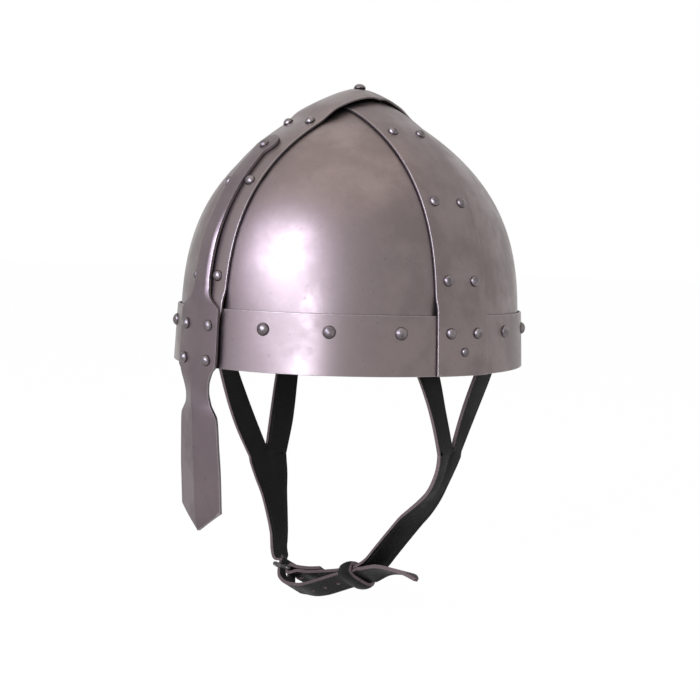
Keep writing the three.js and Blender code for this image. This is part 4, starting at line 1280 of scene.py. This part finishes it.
def tube_mesh(name, path, radius, closed=False, sides=12):
    """A round tube through points, with a UV map in metres and flat ends."""
    path = np.asarray(path, dtype=float)
    radius = np.broadcast_to(radius, len(path)).astype(float)
    if closed:
        run = np.roll(path, -1, axis=0) - np.roll(path, 1, axis=0)
    else:
        run = np.gradient(path, axis=0)
    run = unit(run)
    aside = np.cross(run[0], [0.0, 0.0, 1.0])
    sides_at = [unit(aside) if np.linalg.norm(aside) > upright else np.array([1.0, 0, 0])]
    for way in run[1:]:
        sides_at.append(unit(sides_at[-1] - way * (sides_at[-1] @ way)))
    first = np.array(sides_at)
    second = np.cross(run, first)
    turn = full_turn(sides)
    circle = first[:, None] * np.cos(turn)[:, None] + second[:, None] * np.sin(turn)[:, None]
    rings = path[:, None] + circle * radius[:, None, None]
    count = len(path)
    steps = np.diff(np.concatenate([path, path[:1]]), axis=0)
    along = np.concatenate([[0], np.cumsum(np.linalg.norm(steps, axis=1))])
    faces, uv = [], []
    for i in range(count if closed else count - 1):
        for j in range(sides):
            corners = [(i, j), (i + 1, j), (i + 1, j + 1), (i, j + 1)]
            faces.append([(a % count) * sides + b % sides for a, b in corners])
            uv += [(along[a], b / sides * 2 * math.pi * radius[0]) for a, b in corners]
    if not closed:
        faces += [list(range(sides)), [(count - 1) * sides + j for j in range(sides)]]
        uv += [(0, 0)] * (2 * sides)
    mesh = bpy.data.meshes.new(name)
    mesh.from_pydata(rings.reshape(-1, 3).tolist(), [], faces)
    mesh.uv_layers.new(name="UVMap").data.foreach_set("uv", np.ravel(uv))
    give_values(mesh, "edge", np.full(count * sides, far_from_edge))
    return mesh


lace_steps = 72
lace_turn = full_turn(lace_steps)
lace_path = np.stack([crown_ring * np.cos(lace_turn), crown_ring * np.sin(lace_turn),
                      0 * lace_turn + crown_ring_height], axis=-1)
lace = tube_mesh("lace", lace_path, lace_radius, closed=True)
dress("liner_lace", [lace], 0, strap_leather, "strap_leather")


# %% Stitches
stitch_inset = 4 * MM
hem_steps = 180
stitch_numbers = {"Pitch": 5 * MM, "Stitch Length": 3.6 * MM, "Thread Radius": 0.42 * MM}


def stitch_tree(material):
    """Short rounded stitches, laid along every edge of the mesh at an even pitch."""
    tree, given = geometry_tree("stitches", stitch_numbers)
    curve = place_node(tree, "GeometryNodeMeshToCurve", {"Mesh": given["Geometry"]})
    even = place_node(tree, "GeometryNodeResampleCurve",
                      {"Curve": curve.outputs[0], "Length": given["Pitch"]}, mode="LENGTH")
    tangent = tree.nodes.new("GeometryNodeInputTangent").outputs[0]
    turn = place_node(tree, "FunctionNodeAlignRotationToVector", {"Vector": tangent}, axis="Z")
    bead = place_node(tree, "GeometryNodeMeshUVSphere", {"Segments": 8, "Rings": 5, "Radius": 1})
    half = math_node(tree, "MULTIPLY", given["Stitch Length"], 0.5)
    thread = given["Thread Radius"]
    size = place_node(tree, "ShaderNodeCombineXYZ", {0: thread, 1: thread, 2: half})
    laid = place_node(tree, "GeometryNodeInstanceOnPoints", {
        "Points": even.outputs[0], "Instance": bead.outputs["Mesh"], "Rotation": turn.outputs[0],
        "Scale": size.outputs[0]})
    end_tree(tree, made_real(tree, laid.outputs[0]), material)
    return tree


hem_angles = np.linspace(0, 2 * math.pi, hem_steps + 1)
hem_points, hem_edges = [], []
for height in (liner_bottom + stitch_inset, liner_top - stitch_inset):
    start = len(hem_points)
    hem_points += list(liner_points(hem_angles, np.full(len(hem_angles), height), -liner_inner))
    hem_edges += [(start + i, start + i + 1) for i in range(len(hem_angles) - 1)]
stitches = made_by_tree("liner_stitches", hem_points, {}, stitch_tree(waxed_thread), stitch_numbers,
                        hem_edges)
settle(stitches, "shell", "liner_leather")

# %% [markdown]
# ## The chin strap's route
# Each side of the strap is one Y-shaped piece of leather: two legs riveted inside the bowl that meet
# at a notch and run on as one strap. The wearer's left strap ends in a fold round the buckle's bar.
# The right strap goes through the buckle and back through the keeper. Both follow one smooth curve
# under the chin, kept as a short table of places and turns, so that they stay in line with the buckle.

# %% Curves through stops
# Each stop is x, y and z in shares of strap_drop, and the strap's twist in shares of a full turn.
route_shares = np.array([
    [0.56, 0.006, -0.297, -0.036], [0.55, -0.008, -0.375, -0.046], [0.513, -0.009, -0.45, -0.005],
    [0.45, -0.01, -0.516, 0.035], [0.381, -0.005, -0.578, 0.065], [0.269, 0, -0.697, 0.075],
    [0.166, 0.002, -0.806, 0.085], [0.05, 0.006, -0.865, 0.105], [-0.095, 0.012, -0.91, 0.11],
    [-0.22, 0.018, -0.937, 0.095], [-0.32, 0.022, -0.945, 0.085], [-0.42, 0.026, -0.945, 0.085],
    [-0.448, 0.028, -0.898, 0.05], [-0.475, 0.036, -0.794, 0.02], [-0.503, 0.039, -0.69, 0],
    [-0.528, 0.033, -0.575, 0], [-0.542, 0.017, -0.475, 0],
])
strap_width = 16 * MM
strap_leather_size = 2.2 * MM
heel_place = 10
stop_steps = 200
least_gap = 1e-8


def through(stops, at, even=True):
    """Points of a smooth curve through stops, at places counted in stops; an even one ignores spacing."""
    stops = np.asarray(stops, dtype=float)
    last = len(stops) - 1
    padded = np.concatenate([[2 * stops[0] - stops[1]], stops, [2 * stops[-1] - stops[-2]]])
    at = np.clip(at, 0, last)
    i = np.minimum(np.floor(at).astype(int), last - 1)
    t = (at - i)[:, None]
    a, b, c, d = padded[i], padded[i + 1], padded[i + 2], padded[i + 3]
    if even:
        m, n = (c - a) / 2, (d - b) / 2
    else:
        before, inside, after = (
            np.maximum(np.linalg.norm(q - p, axis=1, keepdims=True), least_gap) ** 0.5
            for p, q in ((a, b), (b, c), (c, d)))
        m = ((b - a) / before - (c - a) / (before + inside) + (c - b) / inside) * inside
        n = ((c - b) / inside - (d - b) / (inside + after) + (d - c) / after) * inside
    return b + m * t + (3 * (c - b) - 2 * m - n) * t ** 2 + (2 * (b - c) + m + n) * t ** 3


last_stop = len(route_shares) - 1
fine_at = np.linspace(0, last_stop, last_stop * stop_steps + 1)
fine_route = through(route_shares[:, :3] * strap_drop, fine_at)
turn_shares = np.pad(route_shares[:, 3:], ((0, 0), (0, 2)))
fine_turns = through(turn_shares, fine_at, even=False)[:, 0] * 2 * math.pi
route_length = np.concatenate([[0], np.cumsum(np.linalg.norm(np.diff(fine_route, axis=0), axis=1))])
heel_length = route_length[heel_place * stop_steps]
whole_route = route_length[-1]
fine_run = unit(np.gradient(fine_route, axis=0))
print("strap's route, mm:", round(whole_route / MM), "and the buckle at", round(heel_length / MM))


# %% Stops beside the strap's route
def strap_frame(distance):
    """Place, run, across and out of the strap at a distance past the buckle's heel bar."""
    at = np.clip(heel_length + distance, 0, whole_route)
    place, run = (np.array([np.interp(at, route_length, values[:, k]) for k in range(3)])
                  for values in (fine_route, fine_run))
    run = unit(run)
    turn = np.interp(at, route_length, fine_turns)
    level = unit(np.cross(run, [0.0, 1.0, 0.0]))
    aside = np.cross(run, level)
    across = aside * math.cos(turn) - level * math.sin(turn)
    out = level * math.cos(turn) + aside * math.sin(turn)
    return place, run, across, out


def strap_stop(distance, lift, half=strap_width / 2, rearward=0):
    """A middle and a half width of the strap, lifted off the route and moved towards the rear."""
    place, _, across, out = strap_frame(distance)
    rear = across * np.sign(across[1])
    return np.concatenate([place + out * lift + rear * rearward, across * half])


def ribbon_rows(stops, fine):
    """Middles, half widths and ways out along a strap, several rows between each two stops."""
    stops = np.array(stops)
    at = np.linspace(0, len(stops) - 1, (len(stops) - 1) * fine + 1)
    middle = through(stops[:, :3], at, even=False)
    half = through(stops[:, 3:], at)
    run = unit(np.gradient(middle, axis=0))
    wide = np.linalg.norm(half, axis=1, keepdims=True)
    half = unit(half - run * np.sum(half * run, axis=1, keepdims=True)) * wide
    return middle, half, unit(np.cross(half, run))


# %% The forks
splitter = 0.5 * MM
strap_top = 33 * MM
leg_middle = liner_inner + 2 * layer_gap + strap_leather_size / 2
# Each list gives a leg's border: places from front to rear, and heights, in shares of strap_drop.
fork_shares = {
    "left": {
        "outer": ([[-0.26, 0.206], [-0.184, 0], [-0.135, -0.13]],
                  [[0.29, 0.206], [0.216, 0], [0.155, -0.13]]),
        "inner": ([[-0.165, 0.206], [-0.096, 0], [-0.056, -0.13], [0.011, -0.285]],
                  [[0.19, 0.206], [0.103, 0], [0.055, -0.13], [0.011, -0.285]]),
        "notch": -0.285,
    },
    "right": {
        "outer": ([[-0.36, 0.206], [-0.279, 0], [-0.163, -0.31]],
                  [[0.245, 0.206], [0.199, 0], [0.158, -0.31]]),
        "inner": ([[-0.25, 0.206], [-0.179, 0], [-0.08, -0.235], [0.008, -0.435]],
                  [[0.137, 0.206], [0.1, 0], [0.056, -0.21], [0.008, -0.435]]),
        "notch": -0.435,
    },
}


def edge_table(pairs):
    return [[z, y] for y, z in pairs[::-1]]


def fork_points(side, end, y, height):
    """The fork's middle sheet: inside the liner above the rim, then over to the strap's first row."""
    place, _, across, out = end
    share = share_at(np.maximum(height, 0))
    held = band_points("side", side * share, y)
    ways = normals_at(held)
    hung = np.maximum(-height, 0) / -place[2]
    inside = held[..., 0] - leg_middle / ways[..., 0]
    turned = place[0] + across[0] / across[1] * (y - place[1])
    points = np.stack([inside + (turned - inside) * hung, y, height + 0 * y], axis=-1)
    return points, unit(ways + (out - ways) * hung[..., None])


for side_name, shares in fork_shares.items():
    print(side_name, "notch, mm below the rim:", -round(shares["notch"] * strap_drop / MM))


# %% Y-shaped straps
strap_columns = np.array([0, 0.04, 0.12, 0.35, 0.65, 0.96, 1])
leg_rows = 40
seam_rows = 5
seam_share = 0.3
seam_depth = 0.8 * MM
seam_length = 32 * MM


def fork_halves(side_name, first, reach):
    """Heights of a fork's rows, and the borders of its halves there, down to the strap's first row."""
    shares = fork_shares[side_name]
    notch = shares["notch"] * strap_drop
    lowest = first[2]
    below = np.linspace(notch, lowest, seam_rows)[1:-1]
    heights = np.concatenate([np.linspace(strap_top, notch, leg_rows), below])
    levels = heights / strap_drop
    halves = []
    for k in (0, 1):
        last = [(first[1] + (-1, 1)[k] * reach) / strap_drop, lowest / strap_drop]
        outer = smooth_table(edge_table(shares["outer"][k] + [last]), levels)
        inner = smooth_table(edge_table(shares["inner"][k]), np.maximum(levels, shares["notch"]))
        halves.append((outer * strap_drop, inner * strap_drop))
    return heights, halves


def y_strap(side_name, side, stops, fine):
    """Two half sheets, sewn along the middle below the notch."""
    end = strap_frame(-heel_length if side > 0 else whole_route - heel_length)
    middle, half, ways = ribbon_rows(stops, fine)
    heights, halves = fork_halves(side_name, middle[0], abs(half[0][1]))
    if np.dot(half[0], [0, -1, 0]) < 0:
        half = -half
    if np.dot(ways[0], [side, 0, 0]) < 0:
        ways = -ways
    notch = heights[leg_rows - 1]
    below = np.concatenate([0 * heights[:leg_rows], heights[leg_rows:] - notch, middle[:, 2] - notch])
    groove = seam_depth * (below < 0) * (1 - smooth(-below / seam_length))
    sewn = leg_rows - 1
    meshes = []
    for k, (outer, inner) in enumerate(halves):
        columns = strap_columns if k else strap_columns[::-1]
        y = inner[:, None] + (outer - inner)[:, None] * columns
        points, out = fork_points(side, end, y, heights[:, None])
        way = 1 if k == 0 else -1
        lower = middle[:, None] + half[:, None] * (way * columns)[:, None]
        out = np.concatenate([out, np.repeat(ways[:, None], len(columns), axis=1)])
        pressed = groove[:, None] * (columns < seam_share) * (1 - columns / seam_share)
        points = np.concatenate([points, lower]) - out * pressed[..., None]
        thick = out * strap_leather_size / 2
        faces = {"open_last": sewn} if k == 0 else {"open_first": sewn}
        meshes.append(sheet_mesh(f"half_{k}", points + thick, points - thick, **faces))
    return meshes


# %% How the left strap runs
buckle_bar = 1.4 * MM
buckle_length = 16 * MM
buckle_gap = 0.8 * MM
bar_gap = 0.25 * MM
strap_gap = 0.55 * MM
strap_sag = 8 * MM
fold_length = 32 * MM
keeper_back = 66 * MM
fold_middle = buckle_bar + bar_gap + strap_leather_size / 2
fold_lift = strap_leather_size + strap_gap
left_taper_shares = [
    [0, 1.58, -0.05], [0.06, 1.4, -0.08], [0.12, 1.16, -0.14], [0.19, 1, -0.1], [0.28, 1, 0],
]
left_stop_count = 12


def taper_stops(shares, start, way):
    """Stops from shares of strap_drop along the route, of the strap's width, and towards the rear."""
    return [strap_stop(start + way * down * strap_drop, 0, wide * strap_width / 2, rearward * strap_width)
            for down, wide, rearward in shares]


def left_stops():
    """Down from the fork, round the buckle's heel bar, and back under itself to the fold's end."""
    top = -heel_length + splitter
    start = top + left_taper_shares[-1][0] * strap_drop
    stops = taper_stops(left_taper_shares, top, 1)
    stops += [strap_stop(start + (-3 * fold_lift - start) * i / left_stop_count, 0)
              for i in range(1, left_stop_count + 1)]
    stops.append(strap_stop(-fold_lift, fold_middle * 0.75))
    place, run, across, out = strap_frame(0)
    for angle in np.linspace(0, math.pi, 5):
        middle = place + run * fold_middle * math.sin(angle) + out * fold_middle * math.cos(angle)
        stops.append(np.concatenate([middle, across * strap_width / 2]))
    stops.append(strap_stop(-1.4 * fold_lift, -fold_middle))
    return stops + [strap_stop(-fold_length * share, -fold_lift) for share in (0.3, 0.65, 1)]


left_route = left_stops()
print("left strap:", len(left_route), "stops")

# %% How the right strap runs
right_taper_shares = [[0, 1.95, 0], [0.085, 1.68, 0], [0.16, 1.34, 0], [0.25, 1.1, 0], [0.33, 1, 0]]
over_heel = fold_middle + strap_leather_size + 2 * strap_gap
under_front = -(buckle_bar + strap_leather_size / 2 + 3 * strap_gap)
front_lift = 0.8 * MM
edge_drop = 0.4 * MM
# Each pair is a share of the buckle's length, and of the way up from under_front to over_heel.
buckle_shares = [
    [1.45, 0.36], [1.17, 0.03], [1, -0.09], [0.84, 0.06], [0.7, 0.6], [0.5, 1.05], [0.22, 1.27],
    [-0.1, 1.38],
]
sag_shares = [[0.13, 1.32], [0.28, 1.25], [0.48, 0.9], [0.68, 0.35], [0.85, 0], [1, 0], [1.1, 0]]
# Each stop is x, y and z in shares of strap_drop, the width's share, and the twist.
tail_shares = [
    [0.17, -0.018, -0.832, 1, 0.105], [0.25, -0.018, -0.796, 1, 0.07], [0.33, -0.018, -0.783, 1, 0.055],
    [0.4, -0.018, -0.782, 0.7, 0.05], [0.435, -0.018, -0.792, 0.2, 0.05],
]


def right_stops():
    """Down from the fork, through the buckle, over the left strap and through the keeper to the tail."""
    last = whole_route - heel_length - splitter
    stops = taper_stops(right_taper_shares, last, -1)
    start = last - right_taper_shares[-1][0] * strap_drop
    before = 1.9 * buckle_length
    stops += [strap_stop(start + (before - start) * share, share * front_lift) for share in (0.5, 1)]
    _, _, across, out = strap_frame(0)
    level = across * strap_width / 2 - out * edge_drop
    for past, up in buckle_shares:
        middle = strap_stop(past * buckle_length, under_front + (over_heel - under_front) * up)[:3]
        stops.append(np.concatenate([middle, level]))
    beside = strap_leather_size + strap_gap
    stops += [strap_stop(-keeper_back * share, max(beside + (strap_sag - beside) * up, beside))
              for share, up in sag_shares]
    for x, y, z, width, turn in tail_shares:
        angle = turn * 2 * math.pi
        half = np.array([0, -math.cos(angle), math.sin(angle)]) * width * strap_width / 2
        stops.append(np.concatenate([np.array([x, y, z]) * strap_drop, half]))
    return stops


right_route = right_stops()
print("right strap:", len(right_route), "stops")

# %% Holes and slots in the leather
tongue_slot = 4.4 * MM
tongue_bar = 0.9 * MM
hole_radius = 1.5 * MM
hole_spacing = 12 * MM
hole_count = 4
hole_sides = 24
tongue_hole_place = 0.76 * buckle_length
tongue_hole_start = -4.4 * tongue_bar
tongue_hole_stop = 2.8 * tongue_bar


def cutter(name, distance, half_across, start, stop, height):
    """A slot with round ends, square to the strap."""
    turn = full_turn(hole_sides)
    round_y = half_across * np.sin(turn)
    middle = np.where(round_y >= 0, stop - half_across, start + half_across)
    outline = np.stack([half_across * np.cos(turn), middle + round_y], axis=-1)
    points = [(x, y, z) for z in (-height, height) for x, y in outline]
    count = len(outline)
    faces = [[i, (i + 1) % count, count + (i + 1) % count, count + i] for i in range(count)]
    faces += [list(range(count))[::-1], list(range(count, 2 * count))]
    mesh = bpy.data.meshes.new(name)
    mesh.from_pydata(points, [], faces)
    place, run, across, out = strap_frame(distance)
    turned = Matrix(np.column_stack([across, run, out]).tolist()).to_4x4()
    mesh.transform(Matrix.Translation(Vector(place)) @ turned)
    obj = bpy.data.objects.new(name, mesh)
    scene.collection.objects.link(obj)
    return obj


def punch(obj, cutters):
    """Cut the holes; use_self is needed because the strap folds over itself."""
    for tool in cutters:
        cut = obj.modifiers.new("hole", "BOOLEAN")
        cut.object = tool
        cut.solver = "EXACT"
        cut.use_self = True
    keep_result(obj)
    for tool in cutters:
        bpy.data.objects.remove(tool)


# %% The finished straps
rows_per_stop = 6
slot_reach = fold_middle + 2 * strap_leather_size
left_halves = y_strap("left", 1, left_route, rows_per_stop)
left_strap = finished("left_y_strap", left_halves, soft_radius, strap_leather)
punch(left_strap, [cutter("slot", 0, tongue_slot / 2, -slot_reach, slot_reach, slot_reach)])
right_halves = y_strap("right", -1, right_route, rows_per_stop)
right_strap = finished("right_y_strap", right_halves, soft_radius, strap_leather)
holes = [cutter(f"hole_{i}", -i * hole_spacing, hole_radius, -hole_radius, hole_radius, 2 * strap_sag)
         for i in range(1, hole_count + 1)]
holes.append(cutter("tongue_hole", tongue_hole_place, 2 * tongue_bar, tongue_hole_start, tongue_hole_stop,
                    2 * slot_reach))
punch(right_strap, holes)
for obj, nodes in (
    (left_strap, ("left_strap_fork", "left_strap")),
    (right_strap, ("right_strap_fork", "right_strap")),
):
    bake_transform(obj)
    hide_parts(*nodes)
    print(obj.name, len(obj.data.polygons), "faces")

# %% [markdown]
# ## Buckle and keeper
# The buckle is a frame of dark round bar with a tongue that turns on its heel bar, and the keeper is a
# loop of leather that holds the strap's tail. The bars are tubes along paths, and the keeper is a
# closed sheet round both layers of the strap.

# %% Buckle
corner_steps = 8


def in_frame(points):
    """Points across, along and out of the strap at the heel bar, put in their place."""
    place, run, across, out = strap_frame(0)
    points = np.asarray(points, dtype=float)
    return place + points[:, :1] * across + points[:, 1:2] * run + points[:, 2:3] * out


def rounded_loop(half_x, high_y, radius):
    """A rectangle with round corners, from the heel bar's line up."""
    points = []
    for cx, cy, start in ((half_x, high_y, 0), (-half_x, high_y, 90), (-half_x, 0, 180), (half_x, 0, 270)):
        for angle in np.radians(start + np.linspace(0, 90, corner_steps)):
            x = cx - math.copysign(radius, cx) + radius * math.cos(angle)
            y = cy - (radius if cy == high_y else -radius) + radius * math.sin(angle)
            points.append((x, y, 0))
    return np.array(points)


frame_half = strap_width / 2 + buckle_gap + buckle_bar
frame_path = in_frame(rounded_loop(frame_half, buckle_length, 1.8 * buckle_bar))
frame_tube = tube_mesh("frame", frame_path, buckle_bar, closed=True, sides=14)
dress("buckle_frame", [frame_tube], 0, buckle_metal, "buckle_metal", body="buckle")

# %% Buckle tongue
loop_steps = 24
loop_radius = buckle_bar + bar_gap + tongue_bar
loop_turn = full_turn(loop_steps)
loop_path = in_frame(loop_radius * np.stack([0 * loop_turn, np.cos(loop_turn), np.sin(loop_turn)], axis=-1))
tip_past = buckle_length + 2 * buckle_bar
tip_rise = loop_radius * (tip_past - loop_radius) / (buckle_length - loop_radius)
shank_radius_shares = np.array([1, 1, 1, 1, 1, 1, 0.98, 0.95, 0.9, 0.8, 0.66, 0.45])
along = np.linspace(0, 1, len(shank_radius_shares))[:, None]
shank_start, shank_end = np.array([0, loop_radius, 0]), np.array([0, tip_past, tip_rise])
shank_path = in_frame(shank_start * (1 - along) + shank_end * along)
dress("buckle_tongue", [
    tube_mesh("loop", loop_path, tongue_bar, closed=True),
    tube_mesh("shank", shank_path, tongue_bar * shank_radius_shares),
], 0, buckle_metal, "buckle_metal", body="tongue")

# %% Keeper
keeper_length = 12.5 * MM
keeper_wall = 1.9 * MM
keeper_gap = 0.9 * MM
keeper_bulge = 0.9 * MM
keeper_power = 3.4
keeper_steps = 72


def keeper_grid(outward):
    """A loop round two layers of strap, its middle a little fuller than its ends."""
    layers = 2 * strap_leather_size + strap_gap
    half_x = strap_width / 2 + keeper_gap
    half_z = layers / 2 + keeper_gap
    turn = full_turn(keeper_steps)
    x, z = bent(np.cos(turn), 2 / keeper_power), bent(np.sin(turn), 2 / keeper_power)
    along = np.array([-0.5, -0.46, -0.25, 0, 0.25, 0.46, 0.5])
    reach = outward * keeper_wall + (keeper_bulge * (1 - (2 * along) ** 2) if outward else 0 * along)
    place, run, across, out = strap_frame(-keeper_back)
    middle = place + out * (strap_leather_size + strap_gap) / 2
    sideways = (x[:, None] * (half_x + reach))[..., None] * across
    upward = (z[:, None] * (half_z + reach))[..., None] * out
    return middle + sideways + upward + (along * keeper_length)[None, :, None] * run


keeper = sheet_mesh("keeper", keeper_grid(1), keeper_grid(0), ring=True)
dress("strap_keeper", [keeper], soft_radius, strap_leather, "strap_leather", body="keeper")

# %% Sizes and finish
sizes = {"cad": [list(c) for c in cad_box], "visual": [list(c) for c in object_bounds()]}
